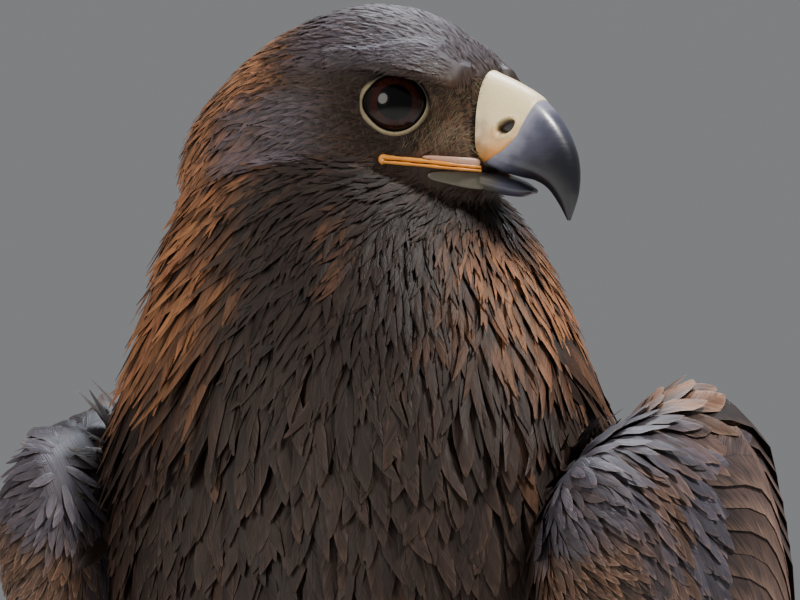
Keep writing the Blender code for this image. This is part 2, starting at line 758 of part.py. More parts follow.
def nape_hackles(flesh, collection):
    """The cape of hackles, in staggered rows from the back of the head down to the mantle."""
    chance = Random(SEED)
    tree = surface_tree(flesh)
    to_head = HEAD_PLACE.inverted()
    made = []
    for row, (height, low, high, count, length, width) in enumerate(HACKLE_ROWS):
        for k in range(count):
            share = (k + 0.5 * (row % 2) + 0.25) / count
            angle = math.radians(low + (high - low) * share) + chance.uniform(-0.03, 0.03)
            outward = Vector((-math.sin(angle), math.cos(angle), 0.0))
            hit = tree.ray_cast(Vector((-6, -46, height)), outward)[0]
            reach = length * chance.uniform(0.92, 1.08)
            if abs(hit.x) > 44:
                reach = min(reach, hit.z - NECK_BASE_HEIGHT - 1)
            if reach < 18 or above_parting(to_head @ hit) > -9:
                continue
            flare = 2.5 + 4.0 * chance.random() * eased(1 - abs(share * 2 - 1), 0.0, 0.5)
            heading = Vector((0, 0.12, -1)) + outward * 0.2
            lifts = (-4.0, 2.6, 3.2 + flare * 0.4, 3.6 + flare)
            spine, across, upward = laid_spine(tree, hit, heading, reach, lifts)
            widths = [width * part for part in HACKLE_WIDTHS]
            made.append(lance_object("hackle", spine, across, upward, widths, 1.5, collection))
    return made


def make_neck(flesh, parts, tools):
    neck = copy_of(flesh, "neck", parts)
    cutters = [head_region("above", GAP / 2, tools), level_box("beneath", NECK_BASE_HEIGHT, False, tools)]
    neck = keep_largest(combine(neck, cutters, "DIFFERENCE"))
    neck = combine(neck, nape_hackles(flesh, tools), "UNION", "MANIFOLD")
    dress(keep_largest(neck), "hackle_feather")


def wing_core(name, mirrored, grow, collection):
    """The thick front of a folded wing, which thins out under the flight feathers."""
    wing = Loft(wing_rows(), WING_OUTWARD, mirrored=mirrored)

    def taper(u):
        return 1 - 0.9 * eased(u, 5.4, WING_CORE_END)

    return ringed_object(name, wing.rings(0, WING_CORE_END, 15, 16, grow=grow, taper=taper), collection)


def wing_sheet(wing, a, c, out):
    """A point of the wing's outer face: a along the wing, c from its upper to its lower edge, out from it."""
    row = smooth_row(wing.rows, a)
    upper, lower, half = row[0:3], row[3:6], row[6]
    bulge = half * math.sqrt(max(1 - (2 * c - 1) ** 2, 0.0))
    return wing.placed(upper + (lower - upper) * c + wing.side * (bulge + out))


QUILL_WIDTHS = (0.65, 0.98, 1.0, 0.78, 0.24)
QUILL_PLACES = (0.0, 0.3, 0.7, 0.93, 1.0)


def wing_vane(wing, start, end, outs, width, steps, collection, thickness=0.8):
    """One feather of a wing tier, from start to end, each a place along and across the wing.

    steps are how far across the next feather of the tier lies at the start and at the end. Each feather
    is tilted so that it clears the next one.
    """
    spine, across = [], []
    for t in QUILL_PLACES:
        a = start[0] + (end[0] - start[0]) * t
        c = start[1] + (end[1] - start[1]) * t
        out = outs[0] + (outs[1] - outs[0]) * eased(t, 0.0, 0.35)
        spine.append(wing_sheet(wing, a, c, out))
        rise = (wing_sheet(wing, a, c, out + 1) - spine[-1]).normalized()
        over = wing_sheet(wing, a, min(c + 0.04, 0.99), out) - wing_sheet(wing, a, max(c - 0.04, 0.01), out)
        row = smooth_row(wing.rows, a)
        apart = np.linalg.norm(row[3:6] - row[0:3]) * (steps[0] + (steps[1] - steps[0]) * t)
        across.append((over.normalized(), rise, math.asin(min(1.5 / max(apart, 4.0), 0.3))))
    sides, upward = [], []
    for k, (over, rise, tilt) in enumerate(across):
        heading = (spine[min(k + 1, len(spine) - 1)] - spine[max(k - 1, 0)]).normalized()
        flat = (over - heading * over.dot(heading)).normalized()
        lifted = heading.cross(flat).normalized()
        if lifted.dot(rise) < 0:
            lifted = -lifted
        sides.append((flat * math.cos(tilt) + lifted * math.sin(tilt)).normalized())
        upward.append((lifted * math.cos(tilt) - flat * math.sin(tilt)).normalized())
    widths = [width * share for share in QUILL_WIDTHS]
    return vane_object("quill", spine, sides, upward, widths, thickness, collection)


def wing_tier(wing, count, starts, ends, outs, widths, collection):
    """A tier of feathers. starts and ends hold the places of its first and last feather."""
    made = []
    for k in range(count):
        share = k / (count - 1)
        start = [a + (b - a) * share for a, b in zip(*starts)]
        end = [a + (b - a) * share for a, b in zip(*ends)]
        end[0] += 0.35 * math.sin(math.pi * share)
        width = widths[0] + (widths[1] - widths[0]) * share
        steps = [(ends_[1][1] - ends_[0][1]) / (count - 1) for ends_ in (starts, ends)]
        made.append(wing_vane(wing, start, end, outs, width, steps, collection))
    return made


def wing_feathers(wing, collection):
    """The tiers of a folded wing: primaries lowest, then secondaries, coverts and scapulars."""
    primaries = wing_tier(
        wing, 5, ((5.6, 0.44), (5.6, 0.78)), ((11.0, 0.34), (11.9, 0.72)), (-12.0, -6.5), (30, 26), collection
    )
    secondaries = wing_tier(
        wing, 7, ((4.6, 0.14), (4.6, 0.85)), ((10.0, 0.14), (8.4, 0.84)), (-7.0, 0.2), (31, 31), collection
    )
    coverts = wing_tier(
        wing, 6, ((3.4, 0.28), (3.4, 0.84)), ((7.5, 0.29), (6.4, 0.86)), (-4.5, 4.4), (32, 29), collection
    )
    scapulars = wing_tier(
        wing, 3, ((2.4, 0.08), (2.7, 0.24)), ((5.8, 0.10), (7.4, 0.26)), (-4.0, 6.6), (25, 26), collection
    )
    return primaries + secondaries + coverts + scapulars


def make_wing(side, mirrored, parts, tools):
    wing = Loft(wing_rows(), WING_OUTWARD, mirrored=mirrored)
    core = wing_core(f"wing_{side}", mirrored, 0.0, parts)
    core = combine(core, wing_feathers(wing, tools), "UNION", "MANIFOLD")
    dress(keep_largest(core), "wing_feather")


def tail_vane(place, collection):
    """One tail feather. place runs from -5.5 on the right to 5.5 on the left."""
    drop = math.radians(TAIL_DROP_DEG)
    back = Vector((0, math.cos(drop), -math.sin(drop)))
    rise = Vector((0, math.sin(drop), math.cos(drop)))
    depth = abs(place) * 2.8 + (1.4 if place < 0 else 0.0) - 4.0
    root = Vector((place * 3.2, 214, 190))
    spread = math.radians(place * 1.6)
    heading = (back * math.cos(spread) + Vector((math.sin(spread), 0, 0))).normalized()
    length = TAIL_LENGTH - abs(place) * 2.4
    spine, across, upward = [], [], []
    for t in QUILL_PLACES:
        sunk = depth * (0.25 + 0.75 * eased(t, 0.0, 0.25))
        point = root + heading * length * t + rise * (-sunk + 4.0 * math.sin(math.pi * t))
        spine.append(point * MM)
        across.append(heading.cross(rise).normalized())
        upward.append(rise)
    widths = [52 * share for share in QUILL_WIDTHS]
    return vane_object("quill", spine, across, upward, widths, 1.0, collection)


def tail_coverts(tree, collection):
    """Short feathers over and under the roots of the tail."""
    made = []
    for above in (True, False):
        for k in range(3):
            place = (k - 1) * 1.3
            start = BODY.point(1.0, place * 0.05 + (0.0 if above else 0.5)) / MM
            heading = Vector((place * 0.10, 0.8, -0.6 if above else -0.35))
            lifts = (-3.0, 1.2 + abs(place), 1.6 + abs(place) * 1.5)
            spine, across, upward = laid_spine(tree, start, heading, 30, lifts)
            ahead = (spine[-1] - spine[-2]).normalized()
            spine.append(spine[-1] + ahead * 24 * MM)
            across.append(across[-1])
            upward.append(upward[-1])
            widths = [w * 26 for w in (0.6, 0.95, 1.0, 0.35)]
            made.append(vane_object("covert", spine, across, upward, widths, 1.0, collection))
    return made


def make_tail(parts, tools):
    tail = ringed_object("tail", BODY.rings(0.0, TAIL_JOIN - 0.008, 5, 16), parts)
    tree = surface_tree(tail)
    vanes = [tail_vane(k - 5.5, tools) for k in range(12)]
    tail = combine(tail, vanes + tail_coverts(tree, tools), "UNION", "MANIFOLD")
    dress(keep_largest(tail), "wing_feather")


def thigh(name, mirrored, grow, collection, start=0.0, end=5.0):
    leg = Loft(leg_rows(THIGH_ROWS), (1, 0, 0), mirrored=mirrored)
    return ringed_object(name, leg.rings(start, end, 9, 16, grow=grow), collection)


def make_torso(parts, tools):
    """The breast, belly and back, hollowed where wings and thighs nestle in it."""
    torso = ringed_object("torso", BODY.rings(TAIL_JOIN, 11, 15, 24), parts)
    cutters = [level_box("above", NECK_BASE_HEIGHT, True, tools)]
    for mirrored in (False, True):
        cutters.append(wing_core("nest", mirrored, 1.2 * GAP, tools))
        cutters.append(thigh("hip", mirrored, 1.6 * GAP, tools, start=-0.012))
    dress(keep_largest(combine(torso, cutters, "DIFFERENCE")), "breast_feather")


def make_leg(side, mirrored, parts, tools):
    upper = thigh(f"thigh_{side}", mirrored, 0.0, parts)
    upper = combine(upper, [wing_core("nest", mirrored, 1.2 * GAP, tools)], "DIFFERENCE")
    dress(keep_largest(upper), "leg_feather")
    shank = Loft(leg_rows(TARSUS_ROWS), (1, 0, 0), mirrored=mirrored)
    lower = ringed_object(f"tarsus_{side}", shank.rings(0, 5, 8, 12), parts)
    cutters = [thigh("hip", mirrored, 1.4 * GAP, tools, end=5.014)]
    dress(keep_largest(combine(lower, cutters, "DIFFERENCE")), "leg_feather")


def toe_rings(toe, grow=0.0):
    """Rings of a toe with padded joints, whose sole lies a little under the floor."""
    rings = []
    count, around = 7, 8
    for k in range(count):
        t = k / (count - 1)
        bulge = 1 + 0.10 * math.sin(t * math.tau * 1.5 - 0.6)
        fat = toe["thick"] * (1.04 - 0.24 * t) * bulge + grow
        if k == count - 1:
            fat *= 0.84
        reach = toe["length"] * t + (grow if k == count - 1 else 0.0)
        middle = toe["start"] + toe["heading"] * reach + Vector((0, 0, toe["thick"] * (0.98 - 0.20 * t)))
        side = toe["heading"].cross(Vector((0, 0, 1))).normalized()
        ring = []
        for j in range(around):
            angle = math.tau * (j + 0.5) / around
            point = middle + side * fat * math.cos(angle) + Vector((0, 0, fat * 1.06 * math.sin(angle)))
            ring.append(point * MM)
        rings.append(ring)
    return rings


def claw_rings(toe, count=6, around=7):
    """Rings of a hooked claw whose tip comes down to just above the floor."""
    sweep = math.radians(CLAW_SWEEP_DEG)
    radius, heading = toe["claw"], toe["heading"]
    height = toe["thick"] * 0.86
    start = toe["start"] + heading * (toe["length"] - 3)
    drop = height - CLAW_TIP_HEIGHT
    first = sweep / 2 - math.asin(min(drop / (2 * radius * math.sin(sweep / 2)), 0.9))
    side = heading.cross(Vector((0, 0, 1))).normalized()
    rings = []
    for k in range(count):
        t = k / (count - 1)
        slope = first - sweep * t
        along = radius * (math.sin(first) - math.sin(slope))
        up = radius * (math.cos(slope) - math.cos(first))
        middle = start + heading * along + Vector((0, 0, height + up))
        ahead = heading * math.cos(slope) + Vector((0, 0, math.sin(slope)))
        rise = side.cross(ahead).normalized()
        fat = (3.0 + 0.075 * radius) * (1 - t) ** 0.72 + 0.35
        ring = []
        for j in range(around):
            angle = math.tau * j / around
            ring.append((middle + side * fat * 0.82 * math.cos(angle) + rise * fat * math.sin(angle)) * MM)
        rings.append(ring)
    return rings


def foot_ball(name, sign, grow, collection):
    centre = (sign * FOOT_CENTRE[0], FOOT_CENTRE[1], FOOT_HEIGHT * 0.5)
    radii = (FOOT_RADIUS + grow, FOOT_RADIUS + grow, FOOT_HEIGHT * 0.85 + grow)
    return ball_object(name, centre, radii, None, collection, around=16, rows=8)


def floor_box(tools):
    return box_object("floor", (-400, -400, -60), (400, 600, 0), tools)


def toes_of(sign):
    """The placing and sizes of the four toes of a foot."""
    toes = []
    for number in range(4):
        angle = math.radians(TOE_SPREAD_DEG[number])
        heading = Vector((-math.sin(angle) * sign, -math.cos(angle), 0))
        start = Vector((sign * FOOT_CENTRE[0], FOOT_CENTRE[1], 0)) + heading * 7
        thick = 7.6 if number == 3 else 8.4
        length = TOE_LENGTHS[number] + 5
        toes.append(dict(heading=heading, start=start, thick=thick, length=length, claw=CLAW_RADII[number]))
    return toes


def make_foot(side, sign, parts, tools):
    """The sole of a foot, its four toes, and their claws."""
    shank = Loft(leg_rows(TARSUS_ROWS), (1, 0, 0), mirrored=sign < 0)

    def ankle():
        return ringed_object("ankle", shank.rings(0, 5.04, 8, 12, grow=1.4 * GAP), tools)

    sole = foot_ball(f"foot_{side}", sign, 0.0, parts)
    sole = combine(sole, [ankle(), floor_box(tools)], "DIFFERENCE")
    dress(keep_largest(sole), "toe_skin")
    toes = toes_of(sign)
    for number, toe in enumerate(toes, 1):
        digit = ringed_object(f"toe_{side}_{number}", toe_rings(toe), parts)
        others = [foot_ball("sole", sign, 1.2 * GAP, tools), floor_box(tools), ankle()]
        if number in (2, 4):
            others.append(ringed_object("middle_toe", toe_rings(toes[2], GAP), tools))
        digit = combine(digit, others, "DIFFERENCE")
        claw = ringed_object(f"claw_{side}_{number}", claw_rings(toe), parts)
        sheath = ringed_object("sheath", toe_rings(toe, GAP), tools)
        claw = combine(claw, [sheath], "DIFFERENCE")
        dress(keep_largest(digit), "toe_skin")
        dress(keep_largest(claw), "claw_horn")


def settle(parts):
    """Moves the finished bird so that the middle of its footprint box is the origin."""
    corners = [v.co for piece in parts.objects for v in piece.data.vertices]
    low = [min(c[i] for c in corners) for i in range(3)]
    high = [max(c[i] for c in corners) for i in range(3)]
    shift = Vector((-(low[0] + high[0]) / 2, -(low[1] + high[1]) / 2, -low[2]))
    for piece in parts.objects:
        piece.data.transform(Matrix.Translation(shift))


def main():
    clear_scene()
    parts = new_collection("golden_eagle")
    tools = new_collection("cutters")
    make_torso(parts, tools)
    flesh = upper_flesh(tools)
    make_neck(flesh, parts, tools)
    make_head(flesh, parts, tools)
    bpy.data.objects.remove(flesh)
    make_bill(parts, tools)
    make_tail(parts, tools)
    for side, sign in (("left", 1), ("right", -1)):
        make_wing(side, sign < 0, parts, tools)
        make_leg(side, sign < 0, parts, tools)
        make_foot(side, sign, parts, tools)
    settle(parts)


main()
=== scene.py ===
"""The looks of a life-size golden eagle that stands with its head turned far to its left.

Lengths are in millimetres in the bird's own design frame: it faces -Y, its left is +X and the floor is
Z = 0. FRAME_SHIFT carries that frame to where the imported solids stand. Skin, bill, eyes and feet are
made from the same rings as the solids, and every feather is a thin closed vane that is laid on the skin.
"""

import math
from functools import cache

import bpy
import numpy as np
from bpy.props import FloatProperty, FloatVectorProperty, PointerProperty
from mathutils import Matrix, Vector, noise
from mathutils.bvhtree import BVHTree
from mathutils.kdtree import KDTree


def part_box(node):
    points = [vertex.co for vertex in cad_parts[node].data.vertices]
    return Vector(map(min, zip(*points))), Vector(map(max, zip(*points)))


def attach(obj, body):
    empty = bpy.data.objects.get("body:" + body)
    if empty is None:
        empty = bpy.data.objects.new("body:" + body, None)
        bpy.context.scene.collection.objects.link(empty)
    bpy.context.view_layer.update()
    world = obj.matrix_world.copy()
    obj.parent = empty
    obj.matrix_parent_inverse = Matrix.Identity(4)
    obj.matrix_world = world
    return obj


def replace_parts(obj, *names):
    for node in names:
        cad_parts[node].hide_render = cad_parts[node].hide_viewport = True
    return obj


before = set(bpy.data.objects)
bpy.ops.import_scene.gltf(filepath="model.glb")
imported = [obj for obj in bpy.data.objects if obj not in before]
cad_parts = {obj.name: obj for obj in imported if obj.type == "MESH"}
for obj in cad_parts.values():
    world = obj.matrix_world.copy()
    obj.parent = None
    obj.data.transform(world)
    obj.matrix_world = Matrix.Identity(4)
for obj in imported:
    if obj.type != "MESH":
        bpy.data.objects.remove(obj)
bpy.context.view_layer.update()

bl_info = {
    "name": "Golden Eagle Dresser",
    "version": (1, 0, 0),
    "blender": (4, 5, 0),
    "location": "3D View > Sidebar > Eagle",
    "description": "Covers the packed eagle with skin and plumage and sets up its studio",
    "category": "Object",
}

MM = 0.001
TAU = math.tau
UP = np.array((0.0, 0.0, 1.0))
SIDES = (("left", 1), ("right", -1))

# The head: its place, its turn, and the eyes.
EYE_HEIGHT = 585.0
HEAD_TURN_DEG = 82.0
EYE_MIDPOINT = (32.0, -48.0, EYE_HEIGHT)
EYE_RADIUS = 13.0
EYE_CENTRE = (19.4, -3.2, 0.0)
GAZE_FORWARD_DEG = 25.0

# Rings of the body, from the tail coverts to the top of the neck:
# middle x, back rail y and z, front rail y and z, half width, squareness, waist.
BODY_ROWS = (
    (0, 270, 170, 256, 148, 30, 0.9, 0.0),
    (0, 242, 204, 220, 162, 37, 1.0, 0.0),
    (0, 213, 246, 172, 180, 46, 1.0, 0.0),
    (0, 186, 290, 124, 194, 60, 1.0, 0.0),
    (0, 156, 338, 74, 206, 74, 1.0, 0.0),
    (0, 122, 386, 22, 222, 85, 0.97, 0.0),
    (0, 86, 430, -34, 250, 91, 0.95, 0.0),
    (0, 54, 464, -76, 296, 92, 0.95, 0.0),
    (0, 30, 492, -100, 350, 92, 0.95, 0.0),
    (1, 14, 514, -109, 404, 90, 0.96, 0.0),
    (3, 6, 534, -108, 454, 83, 1.0, 0.0),
    (1, 0, 554, -102, 498, 72, 1.0, 0.0),
    (-6, -4, 574, -93, 538, 57, 1.0, 0.0),
    (-9, -10, 590, -84, 574, 43, 1.0, 0.0),
)
# Rings of the head, from the feather edge at the bill to the back of the skull:
# forward and up of the crown rail, forward and up of the throat rail, half width, squareness, waist.
HEAD_ROWS = (
    (24.7, 12.0, 24.7, -31.5, 13.8, 0.90, -0.10),
    (20.0, 16.5, 21.0, -32.5, 19.5, 0.84, -0.05),
    (13.0, 24.0, 14.0, -34.5, 23.5, 0.80, -0.05),
    (3.0, 31.0, 5.0, -38.0, 27.0, 0.78, -0.10),
    (-9.0, 35.5, -6.0, -42.0, 31.0, 0.78, -0.10),
    (-22.0, 37.0, -18.0, -46.0, 34.5, 0.80, -0.10),
    (-36.0, 35.0, -31.0, -49.0, 37.0, 0.84, -0.10),
    (-53.0, 29.5, -47.0, -52.0, 38.5, 0.90, -0.05),
    (-69.0, 20.0, -63.0, -52.0, 38.0, 0.95, 0.0),
    (-84.0, 6.0, -79.0, -47.0, 32.0, 1.00, 0.0),
    (-93.0, -11.0, -90.0, -34.0, 18.0, 1.00, 0.0),
)
BROW_REAR = (-24.0, 11.0)
BROW_FRONT = (22.5, 4.0)
BROW_RISE = 4.0
BROW_REACH = 5.0
BROW_ABOVE = 9.0
BROW_BELOW = 3.6
BROW_PLATE = (7.5, 4.2)
SOCKET_DEPTH = 2.5
SOCKET_RADIUS = 11.0
LORES_DEPTH = 5.0
BROW_EDGE = ((0.0, 33.0), (0.3, 35.2), (0.55, 35.0), (0.78, 32.5), (0.92, 29.0), (1.0, 25.0))
BROW_SUNK = 4.0
HEAD_PARTING = ((-140.0, 74.0), (-27.0, -23.0), (140.0, -62.0))
HEAD_PLUMAGE_EDGE = -4.0
NECK_AXIS_Y = -46.0
NAPE_TURN_DEG = 17.0
HACKLES_HALF_TURN_DEG = 138.0

# Rings of the upper bill: culmen rail, cutting-edge rail, half width, squareness, waist.
BILL_ROWS = (
    (25.0, 11.0, 25.0, -22.5, 13.5, 0.95, -0.45),
    (35.0, 6.5, 31.0, -24.5, 12.2, 0.90, -0.45),
    (44.5, 0.6, 37.0, -26.0, 10.2, 0.88, -0.45),
    (52.3, -8.6, 42.0, -27.2, 8.2, 0.88, -0.40),
    (57.2, -19.5, 46.5, -30.0, 5.9, 0.92, -0.20),
    (57.7, -30.5, 50.3, -35.2, 3.4, 1.00, 0.0),
    (54.6, -41.0, 53.4, -40.8, 0.6, 1.00, 0.0),
)
LOWER_BILL_ROWS = (
    (25.0, -23.6, 25.0, -31.0, 11.0, 0.80, 0.30),
    (31.0, -25.6, 31.0, -32.2, 9.4, 0.80, 0.30),
    (36.0, -27.4, 36.0, -32.6, 6.8, 0.85, 0.20),
    (40.5, -29.6, 40.5, -31.6, 2.4, 1.00, 0.0),
)
# Forward and up of the cere's front edge, from its lowest place to the culmen.
CERE_EDGE = ((22.0, -21.5), (28.0, -20.0), (34.0, -17.0), (39.0, -12.0), (41.5, -6.0), (44.0, 0.5), (48.0, 6.0))
NOSTRIL = (35.0, -8.5)
NOSTRIL_SLANT_DEG = -35.0
NOSTRIL_RADII = (3.6, 2.3)
NOSTRIL_DEPTH = 3.2
GAPE_LINE = ((-5.0, -19.6), (3.0, -20.4), (12.0, -21.4), (20.0, -22.4), (25.2, -23.0))

# Rings of the left wing, from the wrist to the tip of the longest flight feather:
# upper rail x, y, z, lower rail x, y, z, half thickness.
WING_ROWS = (
    (98, -96, 446, 99, -97, 416, 8),
    (100, -88, 462, 102, -86, 396, 19),
    (101, -68, 471, 105, -66, 376, 25),
    (102, -28, 478, 109, -36, 352, 28),
    (101, 20, 485, 112, -6, 326, 28),
    (96, 66, 468, 111, 32, 294, 26),
    (86, 110, 429, 105, 74, 258, 21),
    (73, 154, 383, 96, 118, 224, 16),
    (59, 199, 334, 85, 165, 198, 11),
    (47, 245, 286, 73, 214, 176, 7),
    (38, 291, 239, 62, 266, 157, 5),
    (33, 335, 194, 52, 318, 137, 3),
    (30, 375, 152, 44, 366, 116, 2),
)
WING_OUTWARD = (0.94, -0.05, 0.34)
WING_CORE_END = 8.3

# Rings of the left leg: x, front rail y and z, back rail y and z, half width.
THIGH_ROWS = (
    (48, 14, 292, 92, 282, 32),
    (55, 0, 254, 98, 248, 41),
    (58, 2, 214, 100, 208, 42),
    (57, 12, 178, 96, 174, 37),
    (55, 22, 146, 88, 144, 29),
    (54, 31, 116, 77, 118, 18),
)
TARSUS_ROWS = (
    (54, 36, 134, 74, 134, 14.5),
    (54, 35, 104, 71, 106, 14.5),
    (54, 32, 76, 62, 78, 13),
    (54, 28, 50, 55, 50, 13),
    (54, 25, 28, 53, 28, 14),
    (54, 26, 17, 52, 17, 13),
)
FOOT_CENTRE = (54.0, 38.0)
FOOT_RADIUS = 16.0
FOOT_HEIGHT = 15.0
TOE_SPREAD_DEG = (174.0, 28.0, -8.0, -50.0)
TOE_LENGTHS = (36.0, 42.0, 60.0, 45.0)
TOE_RADII = (8.4, 8.4, 8.4, 7.6)
TOE_ROOT = 7.0
TOE_OVERRUN = 5.0
PLATE_LENGTH = 3.4
CLAW_RADII = (34.0, 30.0, 25.0, 21.0)
CLAW_SWEEP_DEG = 84.0
CLAW_TIP_HEIGHT = 1.0
TAIL_LENGTH = 292.0
TAIL_DROP_DEG = 33.5
TAIL_ROOT = (214.0, 190.0)
TAIL_FEATHERS = 12
TAIL_FEATHER_WIDTH = 50.0
TAIL_FEATHER_APART = 3.2
TAIL_FAN_DEG = 1.6

# Each light: its place from the eyes, ahead, right and up as the camera looks, and its size, in metres;
# its share of the key light's power; and its tint.
LIGHTS = (
    ("key_light", -0.58, 0.80, 1.30, 0.4, 1.0, (1.0, 0.97, 0.93)),
    ("fill_light", -1.0, -1.2, 0.35, 0.9, 0.35, (1.0, 0.92, 0.84)),
    ("rim_light", 0.8, 0.2, 1.2, 0.6, 0.7, (0.86, 0.92, 1.0)),
)
SENSOR_WIDTH = 36.0


def unit(vectors):
    vectors = np.asarray(vectors, float)
    return vectors / np.maximum(np.linalg.norm(vectors, axis=-1, keepdims=True), 1e-9)


def eased(value, low, high):
    """0 below low, 1 above high, and smooth between them."""
    t = np.clip((np.asarray(value, float) - low) / (high - low), 0.0, 1.0)
    return t * t * (3 - 2 * t)


def powered(value, power):
    """A power that keeps the sign."""
    return np.sign(value) * np.abs(value) ** power


def turns(around, shift=0.0):
    """Angles at even steps round a ring."""
    return TAU * (np.arange(around) + shift) / around


def rows_at(rows, places):
    """The rows at places along a table, on Catmull-Rom curves through its rows."""
    places = np.asarray(places, float)
    last = len(rows) - 1
    index = np.clip(np.floor(places).astype(int), 0, last - 1)
    t = (places - index)[..., None]
    before, here, there, after = (rows[np.clip(index + k, 0, last)] for k in (-1, 0, 1, 2))
    return 0.5 * (
        2 * here
        + (there - before) * t
        + (2 * before - 5 * here + 4 * there - after) * t * t
        + (3 * here - before - 3 * there + after) * t ** 3
    )


HEAD_PLACE = Matrix.Translation(EYE_MIDPOINT) @ Matrix.Rotation(math.radians(HEAD_TURN_DEG), 4, "Z")
HEAD_TURN = np.array(HEAD_PLACE.to_3x3())
HEAD_BACK = HEAD_TURN @ np.array((0.0, 1.0, 0.0))


def from_head(points):
    """Design points of places given in the head's own axes: side, backward, up."""
    return np.asarray(points, float) @ HEAD_TURN.T + np.array(EYE_MIDPOINT)


def to_head(points):
    return (np.asarray(points, float) - np.array(EYE_MIDPOINT)) @ HEAD_TURN


class Loft:
    """A body of rings. A row holds a ring's upper point, lower point, half width, squareness and waist."""

    def __init__(self, rows, side, in_head=False, mirrored=False, form=None):
        self.rows = np.array(rows, float)
        self.side = unit(side)
        self.in_head = in_head
        self.mirrored = mirrored
        self.form = form

    def bare(self, u, v, grow=0.0, slim=1.0):
        """Points in the rows' own axes: u counts the rows, and v turns once round a ring from its top."""
        u, v = np.broadcast_arrays(np.asarray(u, float), np.asarray(v, float))
        row = rows_at(self.rows, u)
        upper, lower, half, square, waist = row[..., :3], row[..., 3:6], row[..., 6], row[..., 7], row[..., 8]
        tall = np.linalg.norm(upper - lower, axis=-1) / 2
        height = (1 - (1 - slim) * 0.35) * (tall + grow) / tall
        across = powered(np.sin(TAU * v), square) * (half + grow) * slim
        along = powered(np.cos(TAU * v), square)
        rise = (waist + np.where(along > 0, 1 - waist, 1 + waist) * along) * height
        points = (upper + lower) / 2 + (upper - lower) / 2 * rise[..., None] + self.side * across[..., None]
        return self.form(points) if self.form else points

    def placed(self, points):
        points = np.array(points, float)
        if self.mirrored:
            points[..., 0] *= -1
        return from_head(points) if self.in_head else points

    def surface(self, u, v, grow=0.0, slim=1.0):
        return self.placed(self.bare(u, v, grow, slim))

    def grid(self, start, end, count, around, depth=0.0, taper=None):
        """Rings of points from one place to another, sunk by a depth that may vary along them."""
        u = np.linspace(start, end, count)[:, None]
        v = (np.arange(around) / around)[None, :]
        sunk = -depth(u) if callable(depth) else -depth
        return self.surface(u, v, sunk, taper(u) if taper else 1.0)


def brow_line(share):
    """The brow's lower edge seen from the side, from its rear end at 0 to its front at 1."""
    forward = BROW_REAR[0] + (BROW_FRONT[0] - BROW_REAR[0]) * share
    up = BROW_REAR[1] + (BROW_FRONT[1] - BROW_REAR[1]) * share + BROW_RISE * np.sin(np.pi * share)
    return forward, up


def head_form(points):
    """Raises the brow ridges of the head's rings and sinks the eye sockets and lores."""
    side, forward, up = points[..., 0], -points[..., 1], points[..., 2]
    share = np.clip((forward - BROW_REAR[0]) / (BROW_FRONT[0] - BROW_REAR[0]), 0, 1)
    brow_up = brow_line(share)[1] + 2.0
    ends = eased(forward, BROW_REAR[0] - 8, BROW_REAR[0] + 8)
    ends = ends * (1 - eased(forward, BROW_FRONT[0] - 4, BROW_FRONT[0] + 2))
    on_side = eased(np.abs(side), 6.0, 18.0)
    breadth = np.where(up > brow_up, BROW_ABOVE, BROW_BELOW)
    ridge = BROW_REACH * np.exp(-(((up - brow_up) / breadth) ** 2)) * ends * on_side
    away = np.hypot(forward - EYE_CENTRE[1] - 4, up - EYE_CENTRE[2] + 2)
    hollow = SOCKET_DEPTH * np.exp(-((away / SOCKET_RADIUS) ** 2)) * on_side
    lores = LORES_DEPTH * np.exp(-(((forward - 18) / 8.0) ** 2) - (((up + 6) / 9.0) ** 2))
    lores = lores * eased(np.abs(side), 6, 12)
    moved = np.array(points)
    moved[..., 0] = np.copysign(np.abs(side) + ridge - hollow - lores, side)
    return moved


def head_rows(rows):
    return [(0, -top[0], top[1], 0, -top[2], top[3], *top[4:]) for top in rows]


def rail_rows(rows):
    """Rows with one x for both rails, rounded where the table gives no squareness."""
    return [(r[0], r[1], r[2], r[0], r[3], r[4], *(tuple(r[5:]) + (1.0, 0.0))[:3]) for r in rows]


BODY = Loft(rail_rows(BODY_ROWS), (1, 0, 0))
HEAD = Loft(head_rows(HEAD_ROWS), (1, 0, 0), in_head=True, form=head_form)
UPPER_BILL = Loft(head_rows(BILL_ROWS), (1, 0, 0), in_head=True)
LOWER_BILL = Loft(head_rows(LOWER_BILL_ROWS), (1, 0, 0), in_head=True)
WINGS = {
    side: Loft([(*row, 1.0, 0.0) for row in WING_ROWS], WING_OUTWARD, mirrored=sign < 0) for side, sign in SIDES
}
THIGHS = {side: Loft(rail_rows(THIGH_ROWS), (1, 0, 0), mirrored=sign < 0) for side, sign in SIDES}
TARSI = {side: Loft(rail_rows(TARSUS_ROWS), (1, 0, 0), mirrored=sign < 0) for side, sign in SIDES}


def eye_centre(sign):
    return from_head((sign * EYE_CENTRE[0], -EYE_CENTRE[1], EYE_CENTRE[2]))


FRAME_SHIFT = np.array(sum(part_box("eye_right"), Vector())) / 2 / MM - eye_centre(-1)


def eye_axes(sign):
    """The eye's axes: toward the back of the head, up, and along the gaze."""
    angle = math.radians(GAZE_FORWARD_DEG)
    rear = HEAD_TURN @ np.array((sign * math.sin(angle), math.cos(angle), 0.0))
    gaze = HEAD_TURN @ np.array((sign * math.cos(angle), -math.sin(angle), 0.0))
    return rear, UP, gaze


def colours():
    return bpy.context.scene.eagle_colours


def sizes():
    return bpy.context.scene.eagle_sizes


# Meshes.


